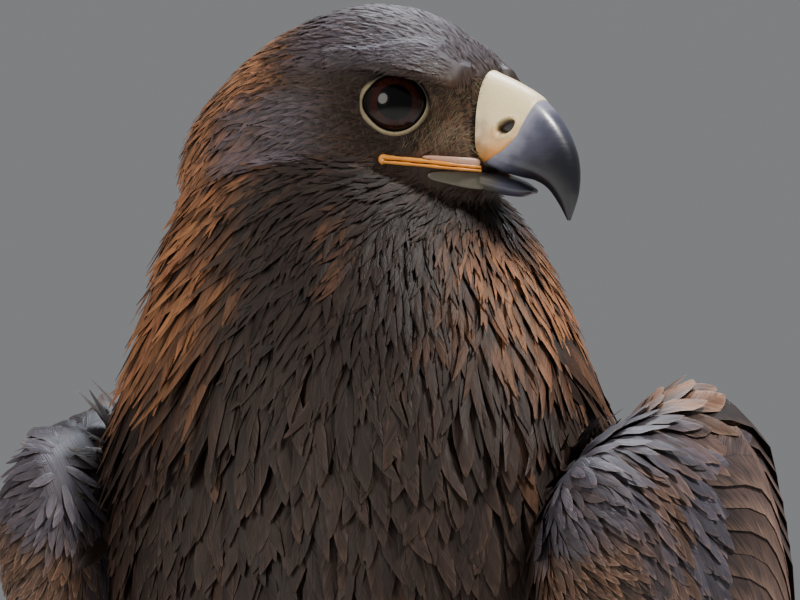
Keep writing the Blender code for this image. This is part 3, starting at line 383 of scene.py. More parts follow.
def mesh_object(name, points, polygons, finish=None, smooth=True):
    """An object from design points and arrays of polygons that each hold one number of corners."""
    mesh = bpy.data.meshes.new(name)
    points = (np.asarray(points, float).reshape(-1, 3) + FRAME_SHIFT) * MM
    mesh.vertices.add(len(points))
    mesh.vertices.foreach_set("co", points.astype(np.float32).ravel())
    groups = [np.asarray(group, np.int32) for group in polygons if len(group)]
    loops = np.concatenate([group.ravel() for group in groups])
    sizes_of = np.concatenate([np.full(len(group), group.shape[1], np.int32) for group in groups])
    mesh.loops.add(len(loops))
    mesh.loops.foreach_set("vertex_index", loops)
    mesh.polygons.add(len(sizes_of))
    mesh.polygons.foreach_set("loop_start", np.concatenate(([0], np.cumsum(sizes_of)[:-1])).astype(np.int32))
    mesh.update(calc_edges=True)
    mesh.validate()
    if smooth:
        mesh.shade_smooth()
    made = bpy.data.objects.new(name, mesh)
    bpy.context.scene.collection.objects.link(made)
    if finish:
        mesh.materials.append(finish)
    return made


def ring_faces(count, around, base=0):
    """Quads that join rings, and a fan at each end over a middle point that follows the rings."""
    i, j = np.meshgrid(np.arange(count - 1), np.arange(around), indexing="ij")
    a = base + i * around + j
    b = base + i * around + (j + 1) % around
    quads = np.stack((a, b, b + around, a + around), -1).reshape(-1, 4)
    j = np.arange(around)
    first, last = base + count * around, base + count * around + 1
    low = np.stack((base + (j + 1) % around, base + j, np.full(around, first)), -1)
    top = base + (count - 1) * around
    high = np.stack((top + j, top + (j + 1) % around, np.full(around, last)), -1)
    return quads, np.concatenate((low, high))


def ringed(grids):
    """Points and faces of closed bodies, each a grid of rings."""
    points, quads, tris, base = [], [], [], 0
    for grid in grids:
        count, around = grid.shape[:2]
        four, three = ring_faces(count, around, base)
        ends = np.stack((grid[0].mean(0), grid[-1].mean(0)))
        body = np.concatenate((grid.reshape(-1, 3), ends))
        if outward_volume(body, four - base, three - base) < 0:
            four, three = four[:, ::-1], three[:, ::-1]
        points.append(body)
        quads.append(four)
        tris.append(three)
        base += len(body)
    return np.concatenate(points), [np.concatenate(quads), np.concatenate(tris)]


def ringed_object(name, grids, finish):
    """An object of closed bodies, each a grid of rings, and its design points."""
    points, faces = ringed(grids)
    return mesh_object(name, points, faces, finish), points


def with_ends(values, first=(0, 0, 0), last=(0, 0, 0)):
    """What a body of rings stores at its points and at its two end points."""
    return np.concatenate((values.reshape(-1, 3), [first, last]))


def outward_volume(points, quads, tris):
    """The volume inside a closed body, which is negative where its faces look inward."""
    faces = np.concatenate((quads[:, (0, 1, 2)], quads[:, (0, 2, 3)], tris))
    a, b, c = (points[faces[:, k]] for k in range(3))
    return float(np.einsum("ij,ij->i", a, np.cross(b, c)).sum()) / 6


def evaluated(source):
    """Replaces an object's mesh by what its modifiers make of it."""
    bpy.context.view_layer.update()
    graph = bpy.context.evaluated_depsgraph_get()
    result = bpy.data.meshes.new_from_object(source.evaluated_get(graph))
    source.modifiers.clear()
    old, source.data = source.data, result
    bpy.data.meshes.remove(old)
    return source


def set_points(mesh, name, values):
    """Stores a vector for each point of a mesh, for its finish to read."""
    layer = mesh.attributes.new(name, "FLOAT_VECTOR", "POINT")
    layer.data.foreach_set("vector", np.asarray(values, np.float32).ravel())


def set_map(mesh, name, per_point):
    """Stores a UV map from one place for each point."""
    corner = np.zeros(len(mesh.loops), np.int32)
    mesh.loops.foreach_get("vertex_index", corner)
    layer = mesh.uv_layers.new(name=name)
    layer.data.foreach_set("uv", np.asarray(per_point, np.float32)[corner].ravel())


def points_of(mesh):
    """The design points of a mesh."""
    co = np.zeros(len(mesh.vertices) * 3, np.float32)
    mesh.vertices.foreach_get("co", co)
    return co.reshape(-1, 3).astype(float) / MM - FRAME_SHIFT


# Finishes.


class Value:
    """A socket of a finish. Arithmetic on it adds Math nodes, and a vector's own calls add Vector Math."""

    def __init__(self, finish, socket):
        self.finish = finish
        self.socket = socket

    def math(self, operation, *others, clamp=False):
        values = dict(enumerate((self, *others)))
        node = self.finish.node("ShaderNodeMath", dict(operation=operation, use_clamp=clamp), values)
        return self.finish.out(node)

    def reflected(self, operation, other):
        node = self.finish.node("ShaderNodeMath", dict(operation=operation), {0: other, 1: self})
        return self.finish.out(node)

    def __add__(self, other):
        return self.math("ADD", other)

    __radd__ = __add__

    def __sub__(self, other):
        return self.math("SUBTRACT", other)

    def __rsub__(self, other):
        return self.reflected("SUBTRACT", other)

    def __mul__(self, other):
        return self.math("MULTIPLY", other)

    __rmul__ = __mul__

    def __truediv__(self, other):
        return self.math("DIVIDE", other)

    def __rtruediv__(self, other):
        return self.reflected("DIVIDE", other)

    def __pow__(self, other):
        return self.math("POWER", other)

    def size(self):
        return self.math("ABSOLUTE")

    def ramp(self, low, high):
        """0 below low, 1 above high, and smooth between them."""
        settings = dict(interpolation_type="SMOOTHSTEP")
        values = {"Value": self, "From Min": low, "From Max": high}
        return self.finish.out(self.finish.node("ShaderNodeMapRange", settings, values))


class Finish:
    """A material and the one way in which its nodes are added."""

    def __init__(self, name, **constants):
        self.material = bpy.data.materials.new(name)
        self.material.use_nodes = True
        self.tree = self.material.node_tree
        self.shader = self.tree.nodes["Principled BSDF"]
        for socket, value in constants.items():
            self.shader.inputs[socket.replace("_", " ")].default_value = value

    def node(self, kind, settings=None, values=None):
        made = self.tree.nodes.new(kind)
        for key, value in (settings or {}).items():
            setattr(made, key, value)
        for key, value in (values or {}).items():
            self.feed(made.inputs[key], value)
        return made

    def feed(self, socket, value):
        if isinstance(value, Value):
            self.tree.links.new(value.socket, socket)
        elif hasattr(value, "__len__") and len(value) == 3 and socket.type == "RGBA":
            socket.default_value = (*value, 1.0)
        else:
            socket.default_value = value

    def out(self, node, key=0):
        return Value(self, node.outputs[key])

    def parts(self, name):
        """The three numbers stored under a name."""
        stored = self.node("ShaderNodeAttribute", dict(attribute_name=name))
        split = self.node("ShaderNodeSeparateXYZ", None, {0: self.out(stored, "Vector")})
        return [self.out(split, k) for k in range(3)]

    def vector(self, *values):
        return self.out(self.node("ShaderNodeCombineXYZ", None, dict(enumerate(values))))

    def place(self):
        """Where a point of the surface is, in metres."""
        return self.out(self.node("ShaderNodeTexCoord"), "Object")

    def grain(self, vector, scale=1.0, detail=2.0, roughness=0.5):
        values = {"Vector": vector, "Scale": scale, "Detail": detail, "Roughness": roughness}
        return self.out(self.node("ShaderNodeTexNoise", None, values), "Fac")

    def cells(self, vector, scale, feature="F1", output="Distance"):
        values = {"Vector": vector, "Scale": scale}
        return self.out(self.node("ShaderNodeTexVoronoi", dict(feature=feature), values), output)

    def mixed(self, first, second, share, blend="MIX"):
        settings = dict(data_type="RGBA", blend_type=blend)
        made = self.node("ShaderNodeMix", settings, {0: share, 6: first, 7: second})
        return Value(self, made.outputs[2])

    def darkened(self, colour, share):
        """A colour times a number that varies over the surface."""
        grey = self.out(self.node("ShaderNodeCombineColor", None, {0: share, 1: share, 2: share}))
        return self.mixed(colour, grey, 1.0, "MULTIPLY")

    def finished(self, colour, roughness=None, height=None, depth=0.0002, strength=0.5):
        """Feeds what varies over the surface to the shader, with height as a bump of a depth in metres."""
        self.feed(self.shader.inputs["Base Color"], colour)
        if roughness is not None:
            self.feed(self.shader.inputs["Roughness"], roughness)
        if height is not None:
            values = {"Height": height, "Distance": depth, "Strength": strength}
            bump = self.node("ShaderNodeBump", None, values)
            self.feed(self.shader.inputs["Normal"], self.out(bump))
        return self.material


@cache
def plumage_finish():
    """Feathers: dark, bluish grey, golden and tawny parts as the marks say, with barbs that leave the shaft. The
    bluish grey is partly the plumage's own grey-brown and partly a painted sheen of light.
    """
    tones = colours()
    finish = Finish("plumage", Specular_IOR_Level=0.28)
    across, along, chance = finish.parts("Lay")
    aside, ahead, softness = finish.parts("Span")
    gold, slate_and_sheen, pale = finish.parts("Mark")
    barb = (ahead - aside.size() * (1.3 + 2.2 * softness)) * (1.6 - 1.1 * softness)
    fine = (finish.grain(finish.vector(barb, aside * 0.25, chance * 41), detail=1.5) - 0.5) * 2.4 + 0.5
    streak = (finish.grain(finish.vector(barb * 0.35, aside * 0.10, chance * 23), detail=2.0) - 0.5) * 2.0 + 0.5
    worn = finish.grain(finish.vector(ahead * 0.09, aside * 0.12, chance * 9), detail=1.0)
    # The bluish grey tone paints the sheen of light on the crown, ear coverts and top of the wings into their
    # colour, over the plumage's own grey-brown.
    base = finish.mixed(tones.dark, tones.slate_and_sheen, slate_and_sheen)
    warm = finish.mixed(tones.gold, tones.rufous, (chance * 0.7 + streak * 0.3).ramp(0.2, 0.9))
    tip = (along + (streak - 0.5) * 0.35).ramp(0.12, 0.70)
    colour = finish.mixed(base, warm, (gold * (0.10 + 0.90 * tip)).math("MINIMUM", 1.0))
    edge = (across.size() + (streak - 0.5) * 0.4).ramp(0.55, 1.05) + along.ramp(0.80, 1.0)
    edge = edge.math("MINIMUM", 1.0)
    colour = finish.mixed(colour, tones.tawny, (edge * 0.6 + 0.4 * worn) * pale)
    # light: the barbs' texture, a random tone for each feather, and painted shade that darkens each feather
    # toward its root, under the feathers over it.
    light = (0.40 + 0.60 * fine + 0.55 * streak).math("MAXIMUM", 0.08)
    light = light * (0.62 + 0.70 * chance) * (0.35 + 0.65 * along.ramp(0.0, 0.5))
    shaft = 1 - 0.35 * (1 - (aside.size()).ramp(0.10, 0.35)) * (1 - softness)
    colour = finish.darkened(colour, light * shaft)
    height = fine * 0.7 + streak * 0.6
    rough = 0.50 + 0.12 * fine
    return finish.finished(colour, rough, height, depth=0.00025, strength=0.6)


@cache
def bristle_finish():
    """The short greyish bristles and down between eye and bill."""
    tones = colours()
    finish = Finish("lore_down", Specular_IOR_Level=0.3)
    along, chance = finish.parts("Lay")[1:]
    patch = finish.grain(finish.place(), 130, 2.0)
    colour = finish.mixed(tones.lore, tones.dark, (patch * 1.2 + chance * 0.7 - 0.52).ramp(0.1, 0.7))
    # Each bristle is darkened toward its root at the skin: painted shade.
    return finish.finished(finish.darkened(colour, 0.45 + 0.75 * along), 0.65)


@cache
def lid_finish():
    """The pale wrinkled rim of the eye, darker where it meets the eyeball and in its corner, with the brow's
    shadow painted over its upper part.
    """
    tones = colours()
    finish = Finish("lid_skin", Specular_IOR_Level=0.4, Coat_Roughness=0.3)
    across, along, corner = finish.parts("Lay")
    # The upper part of the rim is darkened as painted shadow of the brow.
    brow_shadow = along.ramp(0.06, 0.14) * 0.93
    grain = finish.grain(finish.place(), 900, 3.0)
    lines = finish.grain(finish.vector(along * 60, across * 3, 0.0), detail=2.0)
    rim = finish.mixed(tones.lid, tones.lore, (corner * 0.8 + across.ramp(0.45, 1.0)).math("MINIMUM", 1.0))
    inner = finish.mixed(rim, (0.02, 0.012, 0.01), 1 - across.ramp(0.0, 0.12))
    colour = finish.darkened(inner, (0.7 + 0.5 * grain) * (1 - brow_shadow))
    return finish.finished(colour, 0.32 + 0.25 * grain, lines * 0.6 + grain * 0.4, depth=0.0002)


@cache
def eye_finish():
    """A dark red-brown iris with fine spokes round a large pupil, under a wet clear coat."""
    tones = colours()
    finish = Finish("eye", Coat_Weight=0.7, Coat_Roughness=0.02, Coat_IOR=1.32, Specular_IOR_Level=0.1)
    rear, up = finish.parts("Gaze")[:2]
    radius = (rear * rear + up * up).math("SQRT")
    angle = up.math("ARCTAN2", rear)
    spokes = finish.grain(finish.vector(angle * 9.0, radius * 0.5, 3.0), detail=3.0)
    rings = finish.grain(finish.vector(radius * 1.3, angle * 0.8, 7.0), detail=1.0)
    iris = finish.mixed(tones.iris, (0.010, 0.003, 0.002), (spokes * 1.2 - 0.25 + rings * 0.3).ramp(0.2, 0.9))
    rim = finish.mixed(iris, (0.004, 0.002, 0.002), radius.ramp(7.8, 9.8))
    colour = finish.mixed((0.0012, 0.001, 0.0012), rim, (radius + (spokes - 0.5) * 0.3).ramp(5.9, 6.5))
    return finish.finished(colour, 0.12 + 0.1 * spokes)


@cache
def horn_finish(lower=False):
    """Polished horn: blue-grey at the cere and near black at the hook, or olive-grey for the lower bill."""
    tones = colours()
    finish = Finish("lower_horn" if lower else "upper_horn", Coat_Weight=0.35, Coat_Roughness=0.12)
    forward, up, along = finish.parts("Lay")
    cloud = finish.grain(finish.vector(forward * 0.13, up * 0.10, 0.0), detail=3.0)
    layers = finish.grain(finish.vector(along * 30, up * 0.12, forward * 0.05), detail=3.0)
    hairline = finish.grain(finish.vector(up * 0.9, forward * 0.09, 2.0), detail=3.0)
    reach = along + (cloud - 0.5) * 0.22
    colour = finish.mixed(tones.jaw if lower else tones.horn_base, tones.horn_mid, reach.ramp(0.0, 0.22))
    colour = finish.mixed(colour, tones.horn_tip, reach.ramp(0.14, 0.52))
    colour = finish.darkened(colour, 0.70 + 0.34 * layers + 0.26 * hairline)
    rough = 0.20 + 0.24 * hairline
    return finish.finished(colour, rough, layers * 0.5 + hairline * 0.5, depth=0.00025, strength=0.3)


# Light passes a little way into bare skin.
WAXY = {"Subsurface_Weight": 0.12, "Subsurface_Scale": 0.002}


@cache
def cere_finish():
    """Waxy yellow skin, paler cream on top as a painted highlight and warmer low down, and dark inside the
    nostril as painted shade.
    """
    tones = colours()
    finish = Finish("cere", **WAXY, Coat_Weight=0.15, Coat_Roughness=0.3)
    forward, up, inside = finish.parts("Lay")
    cloud = finish.grain(finish.vector(forward * 0.16, up * 0.16, 1.0), detail=3.0)
    pores = finish.grain(finish.place(), 1400, 3.0)
    # Pale cream above and yellow-orange low down: the cere's yellow with a painted highlight on its top.
    colour = finish.mixed(tones.cere, tones.gape, (cloud * 0.6 + (-6 - up) / 26).ramp(0.25, 0.85))
    soot = (1 - forward.ramp(26.0, 31.0)) * (1 - up.ramp(-8.0, 3.0)) * (cloud * 1.6 - 0.35).ramp(0.0, 0.7)
    colour = finish.mixed(colour, tones.lore, soot * 0.65)
    # The nostril's pit is painted near black: painted shade.
    colour = finish.mixed(colour, (0.012, 0.006, 0.004), inside)
    colour = finish.darkened(colour, 0.82 + 0.30 * pores)
    return finish.finished(colour, 0.30 + 0.22 * pores, pores * 0.5 + cloud * 0.5, depth=0.0003, strength=0.4)


@cache
def gape_finish():
    """Bare skin at the mouth: yellow lips, a rosy strip and the olive side of the jaw."""
    tones = colours()
    finish = Finish("gape", **WAXY, Coat_Weight=0.2, Coat_Roughness=0.25)
    along, turn, rosy = finish.parts("Lay")
    folds = finish.grain(finish.vector(along * 24, turn * 2.2, 0.0), detail=2.0)
    pores = finish.grain(finish.place(), 1500, 2.0)
    colour = finish.mixed(tones.gape, tones.gape_pink, rosy.math("MAXIMUM", 0.0))
    colour = finish.mixed(colour, tones.jaw, rosy.math("LESS_THAN", -0.5))
    colour = finish.darkened(colour, 0.70 + 0.35 * folds + 0.18 * pores)
    return finish.finished(colour, 0.30 + 0.2 * pores, folds * 0.7 + pores * 0.3, depth=0.0003)


@cache
def toe_finish():
    """Yellow toe skin: painted shade in the creases between its plates, darker edges round its small scales, and
    browner and darker on the soles.
    """
    tones = colours()
    finish = Finish("toe_skin", Specular_IOR_Level=0.45)
    crease, sole = finish.parts("Lay")[1:]
    plates = finish.cells(finish.place(), 620, "DISTANCE_TO_EDGE")
    cloud = finish.grain(finish.place(), 90, 3.0)
    colour = finish.mixed(tones.toe, (0.50, 0.27, 0.06), (cloud * 1.3 - 0.3).ramp(0.0, 1.0))
    small = 1 - plates.ramp(0.0, 0.10)
    # The creases between the plates are darkened as painted shade; the edges of the small scales are drawn
    # darker.
    shade = 1 - 0.5 * crease.ramp(0.2, 1.0) - 0.30 * small
    colour = finish.darkened(finish.mixed(colour, (0.33, 0.22, 0.12), sole * 0.6), shade)
    rough = 0.42 + 0.2 * cloud
    return finish.finished(colour, rough, plates.ramp(0.0, 0.16) + cloud * 0.2, depth=0.0004, strength=0.6)


@cache
def claw_finish():
    """Black horn with fine lines along it, a little paler at the root."""
    tones = colours()
    finish = Finish("claw_horn", Coat_Weight=0.3, Coat_Roughness=0.15)
    along, turn = finish.parts("Lay")[:2]
    lines = finish.grain(finish.vector(turn * 5, along * 2.2, 0.0), detail=3.0)
    colour = finish.mixed((0.055, 0.048, 0.045), tones.claw, (along + (lines - 0.5) * 0.3).ramp(0.0, 0.35))
    colour = finish.darkened(colour, 0.8 + 0.4 * lines)
    return finish.finished(colour, 0.2 + 0.2 * lines, lines, depth=0.0002, strength=0.25)


def floor_finish():
    finish = Finish("studio_floor", Specular_IOR_Level=0.2)
    speck = finish.grain(finish.place(), 30, 2.0)
    colour = finish.mixed(colours().floor, (0.60, 0.60, 0.59), speck * 0.25)
    return finish.finished(colour, 0.75 + 0.1 * speck)


# The skin, and where on the bird each of its points is.


def wing_taper(u):
    """How the skin narrows toward the tip of the wing, where only feathers lie."""
    return 1 - 0.9 * eased(u, 5.4, WING_CORE_END)


def head_depth(u):
    """How deep the skin lies under the head's rings."""
    return 0.5 + 1.1 * eased(u, 0.0, 3.0) + 1.9 * eased(u, 5.5, 9.0)


def body_depth(u):
    """How deep the skin lies under the body's rings."""
    return 4.0 - 0.5 * eased(u, 9.0, 11.0)


# The number of each fleshy body, in the order of bodies().
HEAD_ID, BODY_ID = 0, 1
WING_IDS = {"left": 2, "right": 3}
THIGH_IDS = {"left": 4, "right": 5}
TARSUS_IDS = {"left": 6, "right": 7}


def bodies():
    """Each fleshy body: its loft, first and last place, rings, points around, depth, taper and lie."""
    return (
        (HEAD, 0.0, 10.0, 90, 96, head_depth, None, 1),
        (BODY, 0.0, 12.6, 110, 96, body_depth, None, -1),
        *((wing, 0.0, WING_CORE_END, 80, 60, 3.0, wing_taper, 1) for wing in WINGS.values()),
        *((thigh, 0.0, 5.0, 50, 56, 4.0, None, 1) for thigh in THIGHS.values()),
        *((tarsus, 0.0, 5.0, 40, 36, 2.2, None, 1) for tarsus in TARSI.values()),
    )


@cache
def body_map():
    """A search tree over all the bodies, with the body, u, v and lie of each of its points."""
    stored, places = [], []
    for number, (loft, start, end, count, around, depth, taper, lie) in enumerate(bodies()):
        grid = loft.grid(start, end, count, around, depth, taper)
        flow = unit(np.gradient(grid, axis=0)) * lie
        u = np.linspace(start, end, count)[:, None] + np.zeros(around)[None, :]
        v = np.zeros(count)[:, None] + (np.arange(around) / around)[None, :]
        places.append(grid.reshape(-1, 3))
        label = np.full(count * around, number)
        stored.append(np.column_stack((label, u.ravel(), v.ravel(), flow.reshape(-1, 3))))
    places, stored = np.concatenate(places), np.concatenate(stored)
    tree = KDTree(len(places))
    for index, place in enumerate(places):
        tree.insert(place, index)
    tree.balance()
    return tree, stored


def located(points):
    """The body, u, v and lie at each point."""
    tree, stored = body_map()
    return stored[[tree.find(point)[1] for point in points]]


def brow_grid(sign, steps=40):
    """Rings of the bony shelf over an eye, which juts out over the lids and broadens the forehead."""
    rings = []
    for k in range(steps):
        share = k / (steps - 1)
        forward, up = brow_line(share)
        up -= 1.6 * math.sin(math.pi * share)
        under = head_half_width(forward, up)
        edge = float(np.interp(share, *zip(*BROW_EDGE)))
        edge = under - 1.0 + (edge - under + 1.0) * float(eased(share, 0.0, 0.3))
        crown_up = float(np.interp(forward, *zip(*[row[:2] for row in HEAD_ROWS[6::-1]])))
        low = (head_half_width(forward, up + BROW_PLATE[0]) - 2.4, up + BROW_PLATE[0] + 1.0)
        blend = float(eased(share, 0.25, 0.8))
        inner = (low[0] + (9.0 - low[0]) * blend, low[1] + (crown_up - 2.2 - low[1]) * blend)
        middle = ((edge + inner[0]) / 2 + 0.8, (up + 3.4 + inner[1]) / 2 + 1.3 + 1.2 * blend)
        corners = (
            (under - 5, up + 1.6),
            (edge - 2.2, up + 0.3),
            (edge - 0.8, up + 0.1),
            (edge, up + 1.2),
            (edge - 0.5, up + 3.2),
            middle,
            inner,
        )
        rings.append([from_head((sign * side, -forward, high)) for side, high in corners])
    return np.array(rings)


@cache
def head_profile():
    """Side places and half widths over one half of the head."""
    u, v = np.meshgrid(np.linspace(0, 8, 161), np.linspace(0.005, 0.495, 120), indexing="ij")
    points = HEAD.bare(u, v).reshape(-1, 3)
    return np.stack((-points[:, 1], points[:, 2]), -1), points[:, 0]


def head_half_width(forward, up):
    """How far the head's surface lies from its middle plane at a place seen from the side."""
    places, widths = head_profile()
    return float(widths[np.argmin(((places - (forward, up)) ** 2).sum(1))])


def above_parting(local):
    """How far places in the head's own axes lie above the bent line between head and neck."""
    forward, up = -local[:, 1], local[:, 2]
    rear, bend, front = HEAD_PARTING
    slopes = [(b[1] - a[1]) / (b[0] - a[0]) for a, b in ((rear, bend), (bend, front))]
    slope = np.where(forward < bend[0], slopes[0], slopes[1])
    return (up - bend[1] - slope * (forward - bend[0])) / np.hypot(1, slope)


def neck_turn(points):
    """Degrees round the neck, from -180 to 180, with 0 at the middle of the nape."""
    turn = np.degrees(np.arctan2(-points[:, 0], points[:, 1] - NECK_AXIS_Y)) - NAPE_TURN_DEG
    return (turn + 180) % 360 - 180


def in_front(v):
    """Which turns round the body's rings face the breast and the belly."""
    return (v > 0.25) & (v < 0.75)


def patchy(points, scale, seed):
    """Soft random patches from 0 to 1, about scale across."""
    offset = Vector((seed * 7.1, seed * 3.7, seed * 1.3))
    return np.array([noise.noise(Vector(p) / scale + offset) for p in points]) * 0.5 + 0.5


def marks(points, places):
    """How golden, how bluish grey and how pale-edged the plumage is at each point, on skin and feathers alike.
    The bluish grey holds a painted sheen, a gold patch on each shoulder is a painted highlight, and round the
    eye the brow's shade is painted.
    """
    body, u, v = places[:, 0].astype(int), places[:, 1], places[:, 2]
    local = to_head(points)
    forward, up = -local[:, 1], local[:, 2]
    patch = patchy(points, 14.0, 3)
    broad = patchy(points, 34.0, 5)
    gold, slate_and_sheen, pale = np.zeros((3, len(points)))

    turn = neck_turn(points)
    round_back = 1 - eased(np.abs(turn) + (patch - 0.5) * 24, 118.0, 146.0)
    head = body == HEAD_ID
    rear = eased(-forward + (patch - 0.5) * 22, 30.0, 58.0)
    below = eased(-up + (patch - 0.5) * 14, 24.0, 44.0) * eased(forward, -66.0, -44.0)
    ear = eased(forward, -70.0, -56.0) * (1 - eased(up, 0.0, 9.0))
    gold[head] = (rear * (1 - below) * (1 - 0.85 * ear))[head] + 0.05
    # Crown top and ear coverts get the bluish grey: their own grey-brown with a painted sheen of light.
    crown = eased(up, 8.0, 18.0) * eased(forward, -44.0, -24.0)
    cheek = eased(-forward, 14.0, 34.0) * ear * (1 - eased(-up, 16.0, 32.0))
    slate_and_sheen[head] = np.maximum(crown, cheek)[head] * (1 - 0.25 * patch[head])
    pale[head] = 0.20 + 0.25 * (rear * (1 - ear))[head]
    # Painted shade under the brow: round the eye the plumage loses its sheen and pale edges and stays dark.
    brow_shade = np.exp(-((np.hypot(forward - EYE_CENTRE[1] - 2, up - EYE_CENTRE[2] - 3) / 19.0) ** 4))
    slate_and_sheen *= 1 - brow_shade * (up < 9.0)
    pale *= 1 - brow_shade
    lores = head * eased(forward, 4.0, 10.0) * eased(-up, -8.0, 0.0) * (1 - eased(-up, 18.0, 24.0))
    gold += 0.25 * lores
    pale += 0.55 * lores

    trunk = body == BODY_ID
    neck = eased(points[:, 2] + (patch - 0.5) * 16, 496.0, 520.0)
    throat = eased(np.abs((turn + 90) % 360 - 180), 90.0, 130.0) * eased(points[:, 2], 530.0, 550.0)
    gold[trunk] = (neck * round_back * (0.70 + 0.5 * patch) * (1 - throat))[trunk]
    breast = in_front(v)
    rusty = eased(patch * 0.5 + broad * 0.5, 0.58, 0.70) * (1 - neck * round_back)
    gold[trunk & breast] += (0.16 * rusty)[trunk & breast]
    gold[trunk & ~breast] += (0.22 * patch * (1 - neck))[trunk & ~breast]
    pale[trunk] = np.where(breast, 0.10, 0.42)[trunk] * (1 - neck[trunk])
    vent = eased(-u, -2.6, -1.0)
    gold[trunk] += (0.35 * vent * breast)[trunk]

    for number in WING_IDS.values():
        wing = body == number
        across = (1 - np.cos(TAU * v)) / 2
        front = (1 - eased(u, 0.7, 1.6)) * eased(across, 0.15, 0.5)
        # A gold patch on the top of each shoulder, where the light falls, is a painted highlight; the tawny at
        # the wrist and the random tawny patches are the plumage's own.
        shoulder = (1 - eased(across, 0.03, 0.14)) * eased(u, 2.4, 3.2) * (1 - eased(u, 4.6, 5.6))
        tan_and_highlight = np.clip(front * 0.9 + shoulder + 0.7 * eased(patch * 0.6 + broad * 0.4, 0.56, 0.70), 0, 1)
        gold[wing] = (0.20 * tan_and_highlight + 0.40 * shoulder)[wing]
        # The bluish grey is strongest along the top of the wing, where the light falls: painted sheen.
        slate_and_sheen[wing] = ((1 - tan_and_highlight) * (1 - eased(across, 0.35, 0.85) * 0.8))[wing]
        pale[wing] = (0.25 + 0.40 * tan_and_highlight)[wing]
    for pair, tawny in ((THIGH_IDS, 0.55), (TARSUS_IDS, 0.8)):
        leg = np.isin(body, list(pair.values()))
        gold[leg] = tawny * (0.45 + 0.5 * patch[leg])
        pale[leg] = 0.45
    return np.clip(np.column_stack((gold, slate_and_sheen, pale)), 0, 1)


NO_AREA = 1e-9


class Skin:
    """The triangles of skin and brows, for laying feathers on them. Those inside the head get no feathers."""

    def __init__(self, objects):
        points, faces, base, first = [], [], 0, 0
        for source in objects:
            mesh = source.data
            first = first or sum(len(each) for each in faces)
            mesh.calc_loop_triangles()
            tri = np.zeros(len(mesh.loop_triangles) * 3, np.int32)
            mesh.loop_triangles.foreach_get("vertices", tri)
            points.append(points_of(mesh))
            faces.append(tri.reshape(-1, 3) + base)
            base += len(points[-1])
        self.points, self.faces = np.concatenate(points), np.concatenate(faces)
        self.tree = BVHTree.FromPolygons(self.points.tolist(), self.faces.tolist())
        a, b, c = (self.points[self.faces[:, k]] for k in range(3))
        self.areas = np.linalg.norm(np.cross(b - a, c - a), axis=1) / 2
        self.normals = unit(np.cross(b - a, c - a))
        self.centres = (a + b + c) / 3
        self.places = located(self.centres)
        self.local = to_head(self.centres)
        buried = np.arange(len(self.faces)) >= first
        for n in np.nonzero(buried)[0]:
            side, back, up = self.local[n]
            buried[n] = abs(side) < head_half_width(-back, up) - BROW_SUNK
        self.areas[buried] = NO_AREA
        self.on_brow = (np.arange(len(self.faces)) >= first) & ~buried

    def scattered(self, wanted, spacing, seed):
        """Evenly spread points on the wanted triangles. spacing gives the distance kept at each triangle."""
        chance = np.random.default_rng(seed)
        index = np.nonzero(wanted)[0]
        gap = spacing[index]
        share = self.areas[index] / gap ** 2
        total = int(share.sum() * 5) + 1
        drawn = np.searchsorted(np.cumsum(share) / share.sum(), chance.random(total))
        picks = index[drawn.clip(0, len(index) - 1)]
        a, b = chance.random(total), chance.random(total)
        flip = a + b > 1
        a[flip], b[flip] = 1 - a[flip], 1 - b[flip]
        corners = self.points[self.faces[picks]]
        one, two, three = corners[:, 0], corners[:, 1], corners[:, 2]
        spots = one + (two - one) * a[:, None] + (three - one) * b[:, None]
        reach = spacing[picks]
        size = float(reach.max())
        cells, kept = {}, []
        keys = np.floor(spots / size).astype(int)
        near = [(i, j, k) for i in (-1, 0, 1) for j in (-1, 0, 1) for k in (-1, 0, 1)]
        for n in range(total):
            x, y, z = keys[n]
            p, q, r = spots[n]
            least = reach[n] ** 2
            others = (spot for i, j, k in near for spot in cells.get((x + i, y + j, z + k), ()))
            if all((s - p) ** 2 + (t - q) ** 2 + (w - r) ** 2 >= least for s, t, w in others):
                cells.setdefault((x, y, z), []).append((p, q, r))
                kept.append(n)
        return spots[kept], picks[kept]


@cache
def skin():
    """The finished skin with the brows, for laying feathers."""
    return Skin([bpy.data.objects[name] for name in ("skin", "brow_left", "brow_right")])


def make_skin():
    """One skin under all the plumage, fused from the fleshy bodies."""
    grids = [loft.grid(*span, depth, taper) for loft, *span, depth, taper, _ in bodies()]
    points, faces = ringed(grids)
    made = mesh_object("skin", points, faces)
    remesh = made.modifiers.new("fuse", "REMESH")
    remesh.mode = "VOXEL"
    remesh.voxel_size = sizes().skin_voxel
    relax = made.modifiers.new("relax", "SMOOTH")
    relax.factor = 0.6
    relax.iterations = 6
    evaluated(made)
    made.data.shade_smooth()
    points = points_of(made.data)
    places = located(points)
    paint_skin(made, points, places)
    legs = [f"{part}_{side}" for part in ("thigh", "tarsus") for side, _ in SIDES]
    nodes = ["torso", "neck", "head"] + legs
    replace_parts(made, *nodes)
    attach(made, "root")
    for side, sign in SIDES:
        points, faces = ringed([brow_grid(sign)])
        brow = mesh_object(f"brow_{side}", points, faces)
        paint_skin(brow, points, located(points))
        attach(brow, "root")


# What the skin stores where a feather stores its place across, along and its own chance.
SKIN_LAY = (0.3, 0.45, 0.3)


def paint_skin(made, points, places):
    """Gives skin the same markings and finish as the feathers over it."""
    made.data.materials.clear()
    made.data.materials.append(plumage_finish())
    count = len(points)
    set_points(made.data, "Lay", np.tile(SKIN_LAY, (count, 1)))
    span = np.column_stack((points[:, 0] + points[:, 1], points[:, 2], np.ones(count)))
    set_points(made.data, "Span", span)
    set_points(made.data, "Mark", marks(points, places))


# Feathers.

